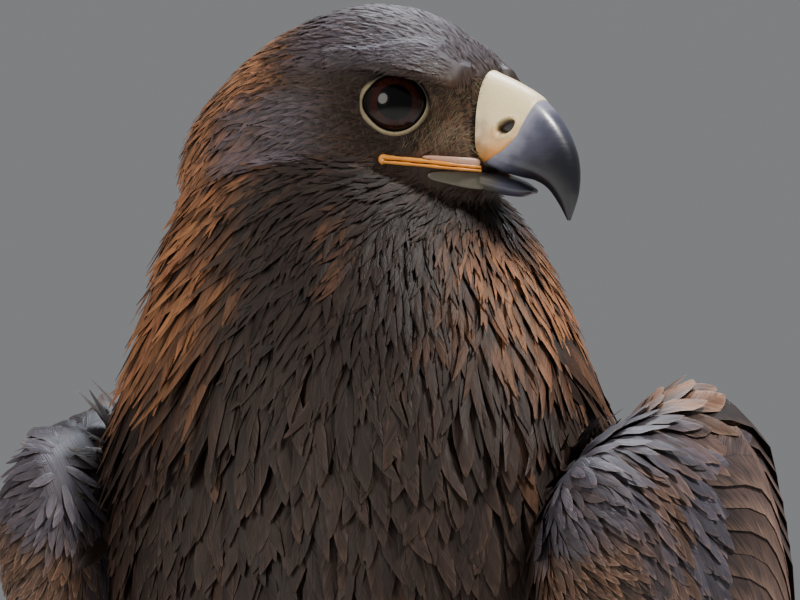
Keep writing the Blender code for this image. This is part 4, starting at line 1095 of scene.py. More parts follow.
# Each shape of feather: places along it from its root at 0, and the share of its width there.
PROFILES = {
    "lance": ((0.0, 0.30), (0.12, 0.64), (0.30, 1.0), (0.48, 0.96), (0.66, 0.70), (0.82, 0.38), (0.94, 0.14)),
    "hair": ((0.0, 0.55), (0.35, 1.0), (0.7, 0.70), (0.94, 0.25)),
    "leaf": ((0.0, 0.30), (0.14, 0.68), (0.38, 1.0), (0.6, 0.97), (0.79, 0.70), (0.92, 0.36), (0.98, 0.14)),
    "quill": ((0.0, 0.42), (0.10, 0.78), (0.35, 1.0), (0.75, 0.97), (0.90, 0.78), (0.965, 0.48), (0.993, 0.18)),
}
# Places across a vane's upper face and how far its shaft stands up there, plain and fine.
PLAIN_SECTION = ((-1.0, 0.0, 1.0), (0.0, 0.0, 0.0))
FINE_SECTION = ((-1.0, -0.55, 0.0, 0.55, 1.0), (0.0, 0.0, 0.35, 0.0, 0.0))
SHAFT_RISE = 1.6
TIP_REACH = 1.1
TIP_THINNING = 0.55
SHARP_DEG = 60
# A feather's own patch on the map for baking, and how much of the map all of them fill.
MAP_PATCH = 0.003
MAP_FILL = 0.99


class Vanes:
    """A set of feathers that becomes one mesh."""

    def __init__(self):
        self.groups = []

    def add(self, *arrays, **kept):
        """Feathers of one kind, as vane_points takes them."""
        if len(arrays[0]):
            self.groups.append(vane_points(*arrays, **kept))

    def mesh(self, name, slot, finish=None):
        sets = self.groups
        base = np.cumsum([0] + [len(body["points"]) for body in sets])
        moved = [{key: body[key] + n for key in ("quads", "tris", "caps")} for body, n in zip(sets, base)]
        polygons = [np.concatenate([body[key] for body in moved]) for key in ("quads", "tris")]
        caps = [body["caps"] for body in moved]
        points = np.concatenate([body["points"] for body in sets])
        made = mesh_object(name, points, [*polygons, *caps], finish or plumage_finish())
        for layer in ("Lay", "Span", "Mark"):
            set_points(made.data, layer, np.concatenate([body[layer] for body in sets]))
        set_map(made.data, "OFBake", np.concatenate([body["map"] for body in sets]))
        made.data.set_sharp_from_angle(angle=math.radians(SHARP_DEG))
        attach(made, "root")
        return made


def vane_points(spines, across, upward, stations, profile, widths, marked, unwrapped, seed=1, fine=False,
                camber=0.10, thick=0.25, lopsided=0.0, ragged=0.0, soft=1.0):
    """Points, faces and stored values of like feathers, each a thin closed cambered vane with a pointed end.

    spines, across and upward hold a vector for each feather and station, and marked and unwrapped one mark
    and one place on the map for each feather.
    """
    count, steps = spines.shape[:2]
    chance = np.random.default_rng(seed)
    shape = np.array(PROFILES[profile])
    half = np.interp(stations, shape[:, 0], shape[:, 1])[None, :] * widths[:, None] / 2
    top, ridge = np.array(FINE_SECTION if fine else PLAIN_SECTION)
    under = np.array((0.0,))
    x = np.concatenate((top, under))
    skew = np.where(x > 0, 1 - lopsided, 1 + lopsided)
    high = camber * (1 - x ** 2)
    extra = np.concatenate((ridge * thick * SHAFT_RISE, np.full(len(under), -thick)))
    reach = half[:, :, None] * x[None, None, :] * skew[None, None, :]
    worn = ragged * chance.uniform(-1, 1, (2, count, steps, 1)) * (stations > 0.2)[None, None, :, None]
    reach = reach * (1 + np.where(x > 0, worn[0], worn[1]))
    thinning = np.linspace(1.0, TIP_THINNING, steps)[None, :, None]
    height = half[:, :, None] * high[None, None, :] + extra[None, None, :] * thinning
    body = spines[:, :, None, :] + across[:, :, None, :] * reach[..., None]
    body = body + upward[:, :, None, :] * height[..., None]
    around = len(x)
    tips = spines[:, -1] + unit(spines[:, -1] - spines[:, -2]) * (half[:, -1:] * TIP_REACH)
    each = steps * around + 1
    points = np.concatenate((body.reshape(count, -1, 3), tips[:, None, :]), axis=1)
    start = np.arange(count)[:, None, None] * each
    i, j = np.meshgrid(np.arange(steps - 1), np.arange(around), indexing="ij")
    a, b = i * around + j, i * around + (j + 1) % around
    quads = np.stack((a, a + around, b + around, b), -1).reshape(1, -1, 4) + start
    j = np.arange(around)
    last = (steps - 1) * around
    tris = np.stack((last + j, np.full(around, each - 1), last + (j + 1) % around), -1)[None] + start
    caps = (np.arange(around)[None, :]) + start[:, :, 0]
    length = np.linalg.norm(np.diff(spines, axis=1), axis=2).sum(1)
    lay = np.zeros((count, each, 3))
    lay[:, :-1, 0] = np.tile(x, steps)[None, :]
    lay[:, :-1, 1] = np.repeat(stations, around)[None, :]
    lay[:, -1, 1] = 1.0
    lay[:, :, 2] = chance.random(count)[:, None]
    span = np.zeros((count, each, 3))
    span[:, :-1, 0] = reach.reshape(count, -1)
    span[:, :, 1] = lay[:, :, 1] * length[:, None]
    span[:, :, 2] = soft
    patch = np.stack((lay[:, :, 0] * 0.5 + 0.5, lay[:, :, 1]), -1) * MAP_PATCH
    return {
        "points": points.reshape(-1, 3),
        "Lay": lay.reshape(-1, 3),
        "Span": span.reshape(-1, 3),
        "Mark": np.repeat(marked[:, None, :], each, axis=1).reshape(-1, 3),
        "map": (unwrapped[:, None, :] * MAP_FILL + patch).reshape(-1, 2),
        "quads": quads.reshape(-1, 4),
        "tris": tris.reshape(-1, 3),
        "caps": caps,
    }


def marched(tree, roots, headings, lengths, stations, lifts, free, bends):
    """Spines that follow the skin from their roots, and run on straight past a free share of their length."""
    count, steps = len(roots), len(stations)
    spines, across, upward = (np.zeros((count, steps, 3)) for _ in range(3))
    for n in range(count):
        spot, heading, length = Vector(roots[n]), Vector(headings[n]), lengths[n]
        normal, ground = None, None
        for s, station in enumerate(stations):
            step = station - stations[s - 1] if s else 0
            if s:
                spot = ground + heading * length * step
            if station <= free or normal is None:
                ground, facing = tree.find_nearest(spot)[:2]
                normal = facing if normal is None else (facing + normal).normalized()
                heading = (heading - normal * heading.dot(normal)).normalized()
            else:
                ground = spot
            heading = (heading + heading.cross(normal) * bends[n] * step).normalized()
            spines[n, s] = ground + normal * lifts[n, s]
            upward[n, s] = normal
            across[n, s] = heading.cross(normal)
    return spines, across, upward


def rolled(across, upward, turns):
    """Turns each feather's plane about its spine, in degrees."""
    angle = np.radians(turns)[:, None, None]
    first = across * np.cos(angle) + upward * np.sin(angle)
    second = upward * np.cos(angle) - across * np.sin(angle)
    return first, second


class Tract:
    """How the feathers of one area grow. Pairs run from the area's fine end to its coarse end."""

    def __init__(self, spacing, length, width, lift, profile, **kept):
        self.spacing, self.length, self.width, self.lift = spacing, length, width, lift
        self.profile = profile
        self.stray = kept.pop("stray", 6.0)
        self.free = kept.pop("free", 0.75)
        self.flare = kept.pop("flare", 0.0)
        self.kept = kept


def between(pair, share):
    return pair[0] + (pair[1] - pair[0]) * share


def grow_tract(vanes, tract, wanted, share, lie, seed):
    """Lays one tract's feathers over the wanted triangles. share runs from fine to coarse over them."""
    cover = skin()
    if not wanted.any():
        return
    roots, picks = cover.scattered(wanted, between(tract.spacing, share) / sizes().density, seed)
    chance = np.random.default_rng(seed + 1)
    count = len(roots)
    part = share[picks]
    places, normals = cover.places[picks], cover.normals[picks]
    headings = lie(roots, places, cover.local[picks])
    headings = unit(headings - normals * (headings * normals).sum(1)[:, None])
    sideways = np.cross(headings, normals)
    drift = np.radians(chance.normal(0, tract.stray, count))[:, None]
    headings = headings * np.cos(drift) + sideways * np.sin(drift)
    lengths = between(tract.length, part) * chance.uniform(0.85, 1.12, count)
    widths = between(tract.width, part) * chance.uniform(0.85, 1.12, count)
    knots = np.array([k for k, _ in PROFILES[tract.profile]])
    lift = between(tract.lift, part) * chance.uniform(0.8, 1.15, count)
    rise = -0.6 + (lift[:, None] + 0.6) * (knots[None, :] ** 0.7)
    rise = rise + tract.flare * (part * chance.random(count))[:, None] * knots[None, :] ** 2
    spines, across, upward = marched(cover.tree, roots, headings, lengths, knots, rise, tract.free,
                                     chance.normal(0, 0.25, count))
    across, upward = rolled(across, upward, chance.normal(0, tract.stray * 0.8, count))
    unwrapped = np.column_stack((places[:, 2], places[:, 1] / 13.0))
    marked = marks(roots, places)
    marked[:, 0] *= np.where(chance.random(count) < 0.22, 0.35, 1.0) * chance.uniform(0.6, 1.1, count)
    vanes.add(
        spines, across, upward, knots, tract.profile, widths, marked, unwrapped, seed=seed + 2, **tract.kept
    )


def grow_piece(name, slot, *areas, finish=None):
    """A piece of plumage from its areas, each with its tract, triangles, coarseness, lie and seed."""
    vanes = Vanes()
    for area in areas:
        grow_tract(vanes, *area)
    vanes.mesh(name, slot, finish)


def head_lie(roots, places, local):
    """Feathers run back from the bill, turn down over the nape, and hang drawn back on the neck."""
    forward, up = -local[:, 1], local[:, 2]
    down = -UP
    fall = 0.14 + 1.2 * eased(-forward, 34.0, 88.0) + 0.4 * eased(-up, 16.0, 50.0)
    along = unit(HEAD_BACK + fall[:, None] * down)
    high = eased(roots[:, 2], 460.0, 570.0)
    behind = 1 - eased(forward, -30.0, 26.0)
    hanging = unit(down + HEAD_BACK * (0.80 * high * behind)[:, None])
    share = eased(above_parting(local), -26.0, 14.0)[:, None]
    return along * share + hanging * (1 - share)


def brow_lie(roots, places, local):
    """The brow's feathers run back along the shelf, and droop over its edge."""
    forward = -local[:, 1]
    droop = 0.10 + 0.25 * eased(forward, -12.0, 6.0)
    return HEAD_BACK - droop[:, None] * UP


def lore_lie(roots, places, local):
    """The bristles before the eye sweep up and forward, and lie over the root of the bill."""
    forward = -local[:, 1]
    rise = 1.0 - 0.9 * eased(forward, 12.0, 22.0)
    return -HEAD_BACK * 0.6 + rise[:, None] * UP


def body_lie(roots, places, local):
    """Feathers follow the rings of the body or limb they stand on."""
    return places[:, 3:6]


def wing_lie(roots, places, local):
    """Coverts run outward, back and down from the wrist, and follow the folded wing farther on."""
    sign = np.where(places[:, 0] == WING_IDS["left"], 1.0, -1.0)
    wrist = np.column_stack((0.66 * sign, np.full(len(roots), 0.36), np.full(len(roots), -0.66)))
    share = eased(places[:, 1], 1.2, 4.4)[:, None]
    return wrist * (1 - share) + unit(places[:, 3:6] + np.array((0, 0, -0.15))) * share


FACE_TRACTS = {
    "lores": Tract((0.72, 0.72), (4.4, 4.4), (0.27, 0.27), (0.9, 0.9), "hair", stray=24, thick=0.07, free=0.3),
    "cheek": Tract((1.25, 1.9), (6.0, 13.0), (1.05, 2.0), (0.6, 1.3), "lance", stray=9, thick=0.12, camber=0.16),
    "crown": Tract((1.25, 2.0), (6.5, 15.0), (1.1, 2.3), (0.6, 1.4), "lance", stray=8, thick=0.12, camber=0.16),
    "brow": Tract((1.05, 1.05), (6.5, 6.5), (1.0, 1.0), (0.5, 0.5), "lance", stray=8, thick=0.10, camber=0.14),
    "chin": Tract((1.5, 2.1), (6.0, 12.0), (1.2, 2.1), (0.8, 1.8), "lance", stray=9, thick=0.12),
}
HACKLE = Tract((1.9, 4.3), (13.0, 50.0), (2.0, 6.0), (1.4, 7.0), "lance", stray=7, thick=0.22, camber=0.26,
               flare=6.0, free=0.62, ragged=0.06)
FRONT_NECK = Tract((1.9, 4.0), (12.0, 34.0), (2.0, 6.0), (1.4, 4.2), "lance", stray=10, thick=0.18, camber=0.20,
                   flare=2.0, free=0.8, ragged=0.08)
CAPE = Tract((4.6, 4.6), (36.0, 36.0), (6.5, 6.5), (9.0, 9.0), "lance", stray=6, thick=0.25, camber=0.2,
             flare=1.0, free=0.8, ragged=0.06)
BREAST = Tract((4.2, 5.6), (32.0, 40.0), (6.8, 10.5), (4.4, 4.6), "leaf", stray=10, thick=0.2, camber=0.18,
               flare=1.5, ragged=0.12)
MANTLE = Tract((6.4, 7.6), (36.0, 46.0), (13.0, 18.0), (4.6, 4.6), "leaf", stray=6, thick=0.3, camber=0.16,
               fine=True, ragged=0.05)
VENT = Tract((5.0, 5.4), (34.0, 38.0), (9.0, 10.0), (4.2, 4.4), "leaf", stray=10, thick=0.2, camber=0.14,
             free=1.0, ragged=0.10)
LESSER = Tract((2.3, 5.6), (12.0, 36.0), (2.5, 11.0), (1.5, 4.8), "leaf", stray=8, thick=0.2, camber=0.18,
               ragged=0.08)
SCAPULAR = Tract((4.2, 7.0), (22.0, 46.0), (6.5, 15.0), (3.0, 7.0), "leaf", stray=7, thick=0.3, camber=0.16,
                 fine=True, ragged=0.06)
WING_LINING = Tract((7.5, 7.5), (34.0, 34.0), (14.0, 14.0), (2.4, 2.4), "leaf", stray=6, thick=0.3, camber=0.1)
TROUSERS = Tract((4.4, 5.4), (24.0, 36.0), (6.0, 8.5), (4.2, 4.2), "lance", stray=10, thick=0.2, camber=0.16,
                 flare=2.0, ragged=0.08)
TARSUS = Tract((2.4, 2.6), (10.0, 11.0), (2.4, 2.8), (2.0, 2.0), "lance", stray=9, thick=0.16, camber=0.16)


def face_areas():
    """Which triangles of the skin belong to each tract of the head."""
    cover = skin()
    local, places = cover.local, cover.places
    side, forward, up = np.abs(local[:, 0]), -local[:, 1], local[:, 2]
    head = (places[:, 0] == HEAD_ID) & (above_parting(local) > HEAD_PLUMAGE_EDGE)
    share = np.clip((forward - BROW_REAR[0]) / (BROW_FRONT[0] - BROW_REAR[0]), 0, 1)
    brow_up = brow_line(share)[1]
    from_eye = np.hypot((forward + 0.1) / 10.4, up / 11.6)
    gape_up = np.interp(forward, *zip(*GAPE_LINE))
    lid = (from_eye < 1) & (side > 10)
    before_eye = (forward > 3.0) & (up < brow_up + 1.0) & (up > gape_up + 2.0) & (side > 5)
    before_eye |= (forward > 22.0) & (up > gape_up + 2.0) & (up < 9.0) & (side < 16)
    brow = head & (np.abs(up - brow_up - 2.6) < 3.6) & (side > 12)
    brow &= (forward > BROW_REAR[0] - 2) & (forward < 23)
    brow |= cover.on_brow & (up > brow_up - 4.0)
    lores = head & before_eye & ~lid & ~brow & ~cover.on_brow
    crown = head & ~brow & (up > brow_up + 1.5) & ~lid
    ramus = (forward > 8.0) & (up < gape_up) & (up > gape_up - 7.0) & (side > 4)
    chin = head & (up < gape_up - 2.0) & (forward > -12) & ~lid & ~ramus
    cheek = head & ~crown & ~brow & ~lores & ~chin & ~lid
    strip = (np.abs(up - gape_up) < 2.0) & (forward > GAPE_LINE[0][0] - 1.0) & (side > 5)
    cheek &= ~strip & ~ramus
    return dict(lores=lores, brow=brow, crown=crown, chin=chin, cheek=cheek)


def grow_face():
    """The small feathers of crown, brows, cheeks, chin and lores."""
    cover = skin()
    forward, up = -cover.local[:, 1], cover.local[:, 2]
    shares = {
        "lores": np.zeros(len(forward)),
        "brow": np.zeros(len(forward)),
        "crown": eased(-forward, -20.0, 72.0),
        "cheek": eased(-forward, -4.0, 66.0),
        "chin": eased(-up, 30.0, 60.0),
    }
    lies = {"lores": lore_lie, "brow": brow_lie, "crown": head_lie, "cheek": head_lie, "chin": head_lie}
    areas = face_areas()
    for seed, (name, tract) in enumerate(FACE_TRACTS.items(), 20):
        area = (tract, areas[name], shares[name], lies[name], seed * 10)
        finish = bristle_finish() if name == "lores" else None
        grow_piece(f"plumage_{name}", "dark_feather", area, finish=finish)


def neck_areas():
    """Which triangles carry hackles and which the softer feathers of the front of the neck."""
    cover = skin()
    head = (cover.places[:, 0] == HEAD_ID) & (above_parting(cover.local) <= HEAD_PLUMAGE_EDGE)
    column = (cover.places[:, 0] == BODY_ID) & (cover.centres[:, 2] > 478 - 0.12 * cover.centres[:, 1])
    neck = head | column
    hackles = neck & (np.abs(neck_turn(cover.centres)) < HACKLES_HALF_TURN_DEG)
    return hackles, neck & ~hackles


def grow_neck():
    """The cape of pointed golden hackles, and the dark front of the neck."""
    cover = skin()
    hackles, front = neck_areas()
    share = eased(-above_parting(cover.local), -6.0, 92.0)
    grow_piece("plumage_hackles", "hackle_feather", (HACKLE, hackles, share, head_lie, 400))
    grow_piece("plumage_throat", "hackle_feather", (FRONT_NECK, front, share, head_lie, 420))


def cape_lie(roots, places, local):
    """Long feathers that drape from the foot of the neck over the root of the wing."""
    outward = np.column_stack((np.sign(roots[:, 0]), 0 * roots[:, 0], 0 * roots[:, 0]))
    return places[:, 3:6] + 0.9 * outward + np.array((0, 0.45, 0))


def grow_cape():
    """The feathers that fill the hollow between neck and shoulder."""
    cover = skin()
    centres = cover.centres
    wanted = (cover.places[:, 0] == BODY_ID) & (np.abs(centres[:, 0]) > 58) & (centres[:, 2] > 455)
    wanted &= (centres[:, 2] < 508) & (centres[:, 1] > -62) & (centres[:, 1] < 40)
    grow_piece("plumage_cape", "dark_feather", (CAPE, wanted, np.ones(len(centres)), cape_lie, 470))


def grow_body():
    """Breast, belly, flanks, back and vent."""
    cover = skin()
    hackles, front = neck_areas()
    trunk = (cover.places[:, 0] == BODY_ID) & ~hackles & ~front
    u, v = cover.places[:, 1], cover.places[:, 2]
    ahead = in_front(v)
    vent = trunk & ahead & (u < 3.2)
    breast = trunk & ahead & ~vent
    back = trunk & ~ahead
    share = 1 - eased(u, 2.0, 9.5)
    areas = (("breast", BREAST, breast, 500), ("back", MANTLE, back, 520), ("vent", VENT, vent, 540))
    for name, tract, wanted, seed in areas:
        grow_piece(f"plumage_{name}", "breast_feather", (tract, wanted, share, body_lie, seed))


def grow_legs():
    """The trousers and the feathered shanks."""
    cover = skin()
    share = 1 - eased(cover.places[:, 1], 2.0, 5.0)
    for side, _ in SIDES:
        thigh, tarsus = THIGH_IDS[side], TARSUS_IDS[side]
        grow_piece(
            f"plumage_leg_{side}", "leg_feather",
            (TROUSERS, cover.places[:, 0] == thigh, share, body_lie, 600 + thigh),
            (TARSUS, cover.places[:, 0] == tarsus, share, body_lie, 620 + tarsus),
        )


# Wings and tail.


def wing_sheet(wing, a, c, out):
    """Points of the wing's outer face: a along the wing, c from its upper to its lower edge, out from it."""
    row = rows_at(wing.rows, a)
    upper, lower, half = row[..., :3], row[..., 3:6], row[..., 6]
    bulge = half * np.sqrt(np.maximum(1 - (2 * c - 1) ** 2, 0.0))
    return wing.placed(upper + (lower - upper) * c[..., None] + wing.side * (bulge + out)[..., None])


# Where a long feather's sections stand along it.
QUILL_STATIONS = np.array((0.0, 0.06, 0.14, 0.24, 0.35, 0.47, 0.59, 0.70, 0.80, 0.88, 0.935, 0.965, 0.985))


# The rise from one long feather to the next, which tilts each over its neighbour.
QUILL_OVERLAP = 1.2

# Tiers of long feathers from the innermost: how many, where the first and the last begin, where they end,
# how far out they lie at root and tip, their first and last width, their mark, and their section.
WING_TIERS = (
    (7, ((5.6, 0.44), (5.6, 0.80)), ((11.0, 0.36), (11.9, 0.74)), (-12.0, -6.5), (27, 22), (0.02, 0.25, 0.12),
     {"thick": 0.45, "camber": 0.05, "lopsided": 0.25}),
    (13, ((4.6, 0.12), (4.6, 0.86)), ((10.0, 0.13), (8.4, 0.86)), (-7.0, 0.0), (29, 27), (0.10, 0.30, 0.45),
     {"thick": 0.40, "camber": 0.08, "lopsided": 0.15}),
    (12, ((3.4, 0.22), (3.4, 0.86)), ((7.7, 0.26), (6.4, 0.88)), (-4.5, 3.0), (27, 24), (0.16, 0.45, 0.60),
     {"thick": 0.35, "camber": 0.09}),
    (12, ((2.9, 0.20), (2.9, 0.84)), ((5.9, 0.24), (5.0, 0.88)), (-4.0, 4.4), (25, 22), (0.26, 0.45, 0.65),
     {"thick": 0.35, "camber": 0.09}),
    (6, ((3.4, 0.06), (3.4, 0.26)), ((7.0, 0.08), (8.0, 0.28)), (-4.0, 5.6), (25, 25), (0.16, 0.40, 0.50),
     {"thick": 0.40, "camber": 0.10}),
)
WING_SEEDS = {"left": 700, "right": 750}


def wing_tier(vanes, wing, count, starts, ends, outs, widths, mark, seed, **kept):
    """A tier of long feathers, evenly spread between its first and its last."""
    chance = np.random.default_rng(seed)
    share = np.linspace(0, 1, count)
    t = QUILL_STATIONS[None, :]
    first = [between((starts[0][k], starts[1][k]), share)[:, None] for k in (0, 1)]
    final = [between((ends[0][k], ends[1][k]), share)[:, None] for k in (0, 1)]
    final[0] = final[0] + 0.35 * np.sin(np.pi * share)[:, None] + chance.uniform(-0.12, 0.12, count)[:, None]
    a = first[0] + (final[0] - first[0]) * t
    c = first[1] + (final[1] - first[1]) * t
    out = outs[0] + (outs[1] - outs[0]) * eased(t, 0.0, 0.35) + chance.uniform(-0.15, 0.15, count)[:, None]
    spines = wing_sheet(wing, a, c, out)
    rise = unit(wing_sheet(wing, a, c, out + 1) - spines)
    below, above = np.minimum(c + 0.04, 0.99), np.maximum(c - 0.04, 0.01)
    over = unit(wing_sheet(wing, a, below, out) - wing_sheet(wing, a, above, out))
    heading = unit(np.gradient(spines, axis=1))
    flat = unit(over - heading * (over * heading).sum(-1, keepdims=True))
    lifted = np.cross(heading, flat)
    lifted = lifted * np.sign((lifted * rise).sum(-1, keepdims=True))
    row = rows_at(wing.rows, a)
    step = between(((starts[1][1] - starts[0][1]), (ends[1][1] - ends[0][1])), t) / max(count - 1, 1)
    apart = np.linalg.norm(row[..., 3:6] - row[..., :3], axis=-1) * step
    tilt = np.arcsin(np.minimum(QUILL_OVERLAP / np.maximum(np.abs(apart), 3.0), 0.30))[..., None]
    across = flat * np.cos(tilt) + lifted * np.sin(tilt)
    upward = lifted * np.cos(tilt) - flat * np.sin(tilt)
    width = between(widths, share)
    marked = np.repeat(np.array(mark, float)[None, :], count, axis=0)
    marked = np.clip(marked * chance.uniform(0.7, 1.2, (count, 1)), 0, 1)
    unwrapped = np.column_stack((first[1][:, 0] * 0.5, first[0][:, 0] / 13.0))
    vanes.add(
        spines, across, upward, QUILL_STATIONS, "quill", width, marked, unwrapped,
        seed=seed, fine=True, soft=0.0, **kept,
    )


def grow_wing(side):
    """A folded wing: flight feathers in tiers under the coverts, with scapulars over its upper edge."""
    wing, seed = WINGS[side], WING_SEEDS[side]
    vanes = Vanes()
    for number, (*tier, section) in enumerate(WING_TIERS, 1):
        wing_tier(vanes, wing, *tier, seed + number, **section)
    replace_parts(vanes.mesh(f"plumage_quills_{side}", "wing_feather"), f"wing_{side}")
    cover = skin()
    mine = cover.places[:, 0] == WING_IDS[side]
    u, v = cover.places[:, 1], cover.places[:, 2]
    top = ((v < 0.12) | (v > 0.84)) & (u > 2.2)
    lesser = mine & ((v < 0.52) | (u < 1.6)) & (u < 4.6 - 0.9 * v) & ~top
    grow_piece(
        f"plumage_coverts_{side}", "wing_feather",
        (LESSER, lesser, eased(u, 0.0, 4.4), wing_lie, seed + 10),
        (SCAPULAR, mine & top & (u < 6.4), eased(u, 1.6, 4.6), wing_lie, seed + 15),
        (WING_LINING, mine & ~lesser & ~top & (u < 7.6), eased(u, 0.0, 3.4), wing_lie, seed + 20),
    )


def grow_tail():
    """Twelve tail feathers stacked like a closed fan, the middle pair on top."""
    drop = math.radians(TAIL_DROP_DEG)
    back = np.array((0, math.cos(drop), -math.sin(drop)))
    rise = np.array((0, math.sin(drop), math.cos(drop)))
    t = QUILL_STATIONS
    spines, across, upward, unwrapped = [], [], [], []
    for k in range(TAIL_FEATHERS):
        place = k - (TAIL_FEATHERS - 1) / 2
        depth = abs(place) * 2.8 + (1.4 if place < 0 else 0.0) - 4.0
        spread = math.radians(place * TAIL_FAN_DEG)
        heading = unit(back * math.cos(spread) + np.array((math.sin(spread), 0, 0)))
        length = TAIL_LENGTH - abs(place) * 2.4
        root = np.array((place * TAIL_FEATHER_APART, *TAIL_ROOT))
        sunk = depth * (0.25 + 0.75 * eased(t, 0.0, 0.25))
        line = root + heading * length * t[:, None] + rise * (-sunk + 4.0 * np.sin(np.pi * t))[:, None]
        spines.append(line)
        across.append(np.tile(unit(np.cross(heading, rise)), (len(t), 1)))
        upward.append(np.tile(rise, (len(t), 1)))
        unwrapped.append((0.3 + 0.03 * k, 0.1))
    vanes = Vanes()
    marked = np.tile((0.05, 0.35, 0.25), (TAIL_FEATHERS, 1))
    widths = np.full(TAIL_FEATHERS, TAIL_FEATHER_WIDTH)
    spines, across, upward, unwrapped = (np.array(each) for each in (spines, across, upward, unwrapped))
    vanes.add(spines, across, upward, t, "quill", widths, marked, unwrapped,
              fine=True, soft=0.0, thick=0.45, camber=0.03, seed=801)
    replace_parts(vanes.mesh("plumage_tail", "wing_feather"), "tail")


# Bill, eyes and feet.


def cere_reach(v):
    """How far along the upper bill the cere reaches at each turn around it."""
    edge_forward, edge_up = zip(*CERE_EDGE)
    u = np.linspace(-0.2, 4.0, 421)
    points = UPPER_BILL.bare(u[:, None], v[None, :])
    past = -points[..., 1] > np.interp(points[..., 2], edge_up, edge_forward)
    return np.where(past.any(0), u[past.argmax(0)], u[-1])


def bill_lay(points, along):
    """Forward, up and a third number for each point of the bill, for its finish."""
    local = to_head(points)
    return np.column_stack((-local[:, 1], local[:, 2], along))


def make_bill():
    """The horn of the upper bill, and the lower bill."""
    around, count = 96, 90
    v = np.arange(around) / around
    start = cere_reach(v) - 0.14
    t = np.linspace(0, 1, count)
    u = start[None, :] + (6.0 - start)[None, :] * t[:, None]
    grid = UPPER_BILL.surface(u, np.broadcast_to(v, u.shape))
    made, points = ringed_object("bill_upper_horn", [grid], horn_finish())
    along = np.concatenate(((t[:, None] + 0 * v).ravel(), (0.0, 1.0)))
    set_points(made.data, "Lay", bill_lay(points, along))
    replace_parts(made, "bill_upper")
    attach(made, "root")
    grid = LOWER_BILL.grid(-0.3, 3.0, 40, 48)
    made, points = ringed_object("bill_lower_horn", [grid], horn_finish(lower=True))
    set_points(made.data, "Lay", bill_lay(points, np.clip((-to_head(points)[:, 1] - 24) / 42, 0, 1)))
    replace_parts(made, "bill_lower")
    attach(made, "root")


def make_cere():
    """The waxy cere with a rounded front lip and slanting nostrils."""
    around, count = 160, 80
    v = np.arange(around) / around
    end = cere_reach(v)
    t = np.linspace(0, 1, count)
    u = -0.3 + (end + 0.3)[None, :] * t[:, None]
    lip = 0.35 * np.sqrt(np.clip(1 - np.clip((t - 0.90) / 0.10, 0, 1) ** 2, 0, 1)) - 0.05
    grid = UPPER_BILL.surface(u, np.broadcast_to(v, u.shape), lip[:, None])
    local = to_head(grid)
    slant = math.radians(NOSTRIL_SLANT_DEG)
    ahead, high = -local[..., 1] - NOSTRIL[0], local[..., 2] - NOSTRIL[1]
    x = ahead * math.cos(slant) - high * math.sin(slant)
    y = ahead * math.sin(slant) + high * math.cos(slant)
    away = np.hypot(x / NOSTRIL_RADII[0], y / NOSTRIL_RADII[1])
    on_side = np.abs(local[..., 0]) > 4
    pit = (1 - eased(away, 0.78, 1.08)) * on_side
    rim = 0.35 * np.exp(-(((away - 1.25) / 0.22) ** 2)) * on_side
    local[..., 0] += np.sign(local[..., 0]) * (rim - NOSTRIL_DEPTH * pit)
    made, points = ringed_object("cere_skin", [from_head(local)], cere_finish())
    # The third number marks the nostril's pit, which the finish paints dark as shade.
    inside = np.concatenate((pit.ravel(), (0.0, 0.0)))
    set_points(made.data, "Lay", bill_lay(points, inside))
    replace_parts(made, "cere")
    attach(made, "root")


def gape_frame(sign, t, rise):
    """Places along the line of the mouth at a height over it, with the ways out, and along it."""
    rows = np.array([(head_half_width(f, z + rise) - 0.4, f, z) for f, z in GAPE_LINE])
    places = rows_at(rows, t * (len(rows) - 1))
    line = from_head(np.column_stack((sign * places[:, 0], -places[:, 1], places[:, 2])))
    heading = unit(np.gradient(line, axis=0)) if t[-1] > t[0] else -unit(np.gradient(line, axis=0))
    out = unit(np.cross(heading, (0, 0, 1)))
    return line, out * np.sign((out * (line - from_head((0, 0, 0)))).sum(1, keepdims=True)), heading


def tube(path, out, fat, tall, around=18):
    """A closed tube along a path, flattened across it."""
    second = unit(np.cross(np.gradient(path, axis=0), out))
    angle = turns(around)
    return path[:, None, :] + out[:, None, :] * (fat[:, None] * np.cos(angle))[..., None] \
        + second[:, None, :] * (tall[:, None] * np.sin(angle))[..., None]


def gape_lips(sign):
    """Both lips in one hairpin that turns at the corner of the mouth."""
    t = np.linspace(1.05, 0.07, 44)
    line, out, heading = gape_frame(sign, t, 0.0)
    gap = (0.85 - 0.25 * t)[:, None] * UP
    turn = np.linspace(0, math.pi, 9)[1:-1]
    corner = line[-1] + np.cos(turn)[:, None] * gap[-1] - np.sin(turn)[:, None] * 0.9 * heading[-1]
    path = np.concatenate((line + gap, corner, (line - gap)[::-1]))
    out = np.concatenate((out, np.repeat(out[-1:], len(turn), 0), out[::-1]))
    place = np.concatenate((t, 0 * turn, t[::-1]))
    lower = np.concatenate((0 * t, 0.5 + 0 * turn, 1 + 0 * t))
    wave = 1 + 0.10 * np.sin(place * 23 + lower * 2) + 0.06 * np.sin(place * 51)
    fat = (1.55 + 0.45 * np.exp(-((place / 0.10) ** 2)) - 0.45 * place) * wave
    tall = (0.84 + 0.36 * np.exp(-((place / 0.08) ** 2))) * (1 - 0.22 * lower) * (1 - 0.25 * place) * wave
    return tube(path, out, fat, tall)


def gape_plate(sign, rise, fat, tall, reach):
    """A soft plate beside the mouth: its height over the line, half thickness, half height and ends."""
    steps = 40
    t = np.linspace(*reach, steps)
    line, out = gape_frame(sign, t, rise)[:2]
    ends = np.sqrt(np.clip(1 - (2 * np.linspace(0, 1, steps) - 1) ** 6, 0.03, 1))
    ends = ends * (0.55 + 0.45 * eased(t, reach[0], 0.9))
    return tube(line + np.array((0, 0, rise)), out, fat * ends, tall * ends)


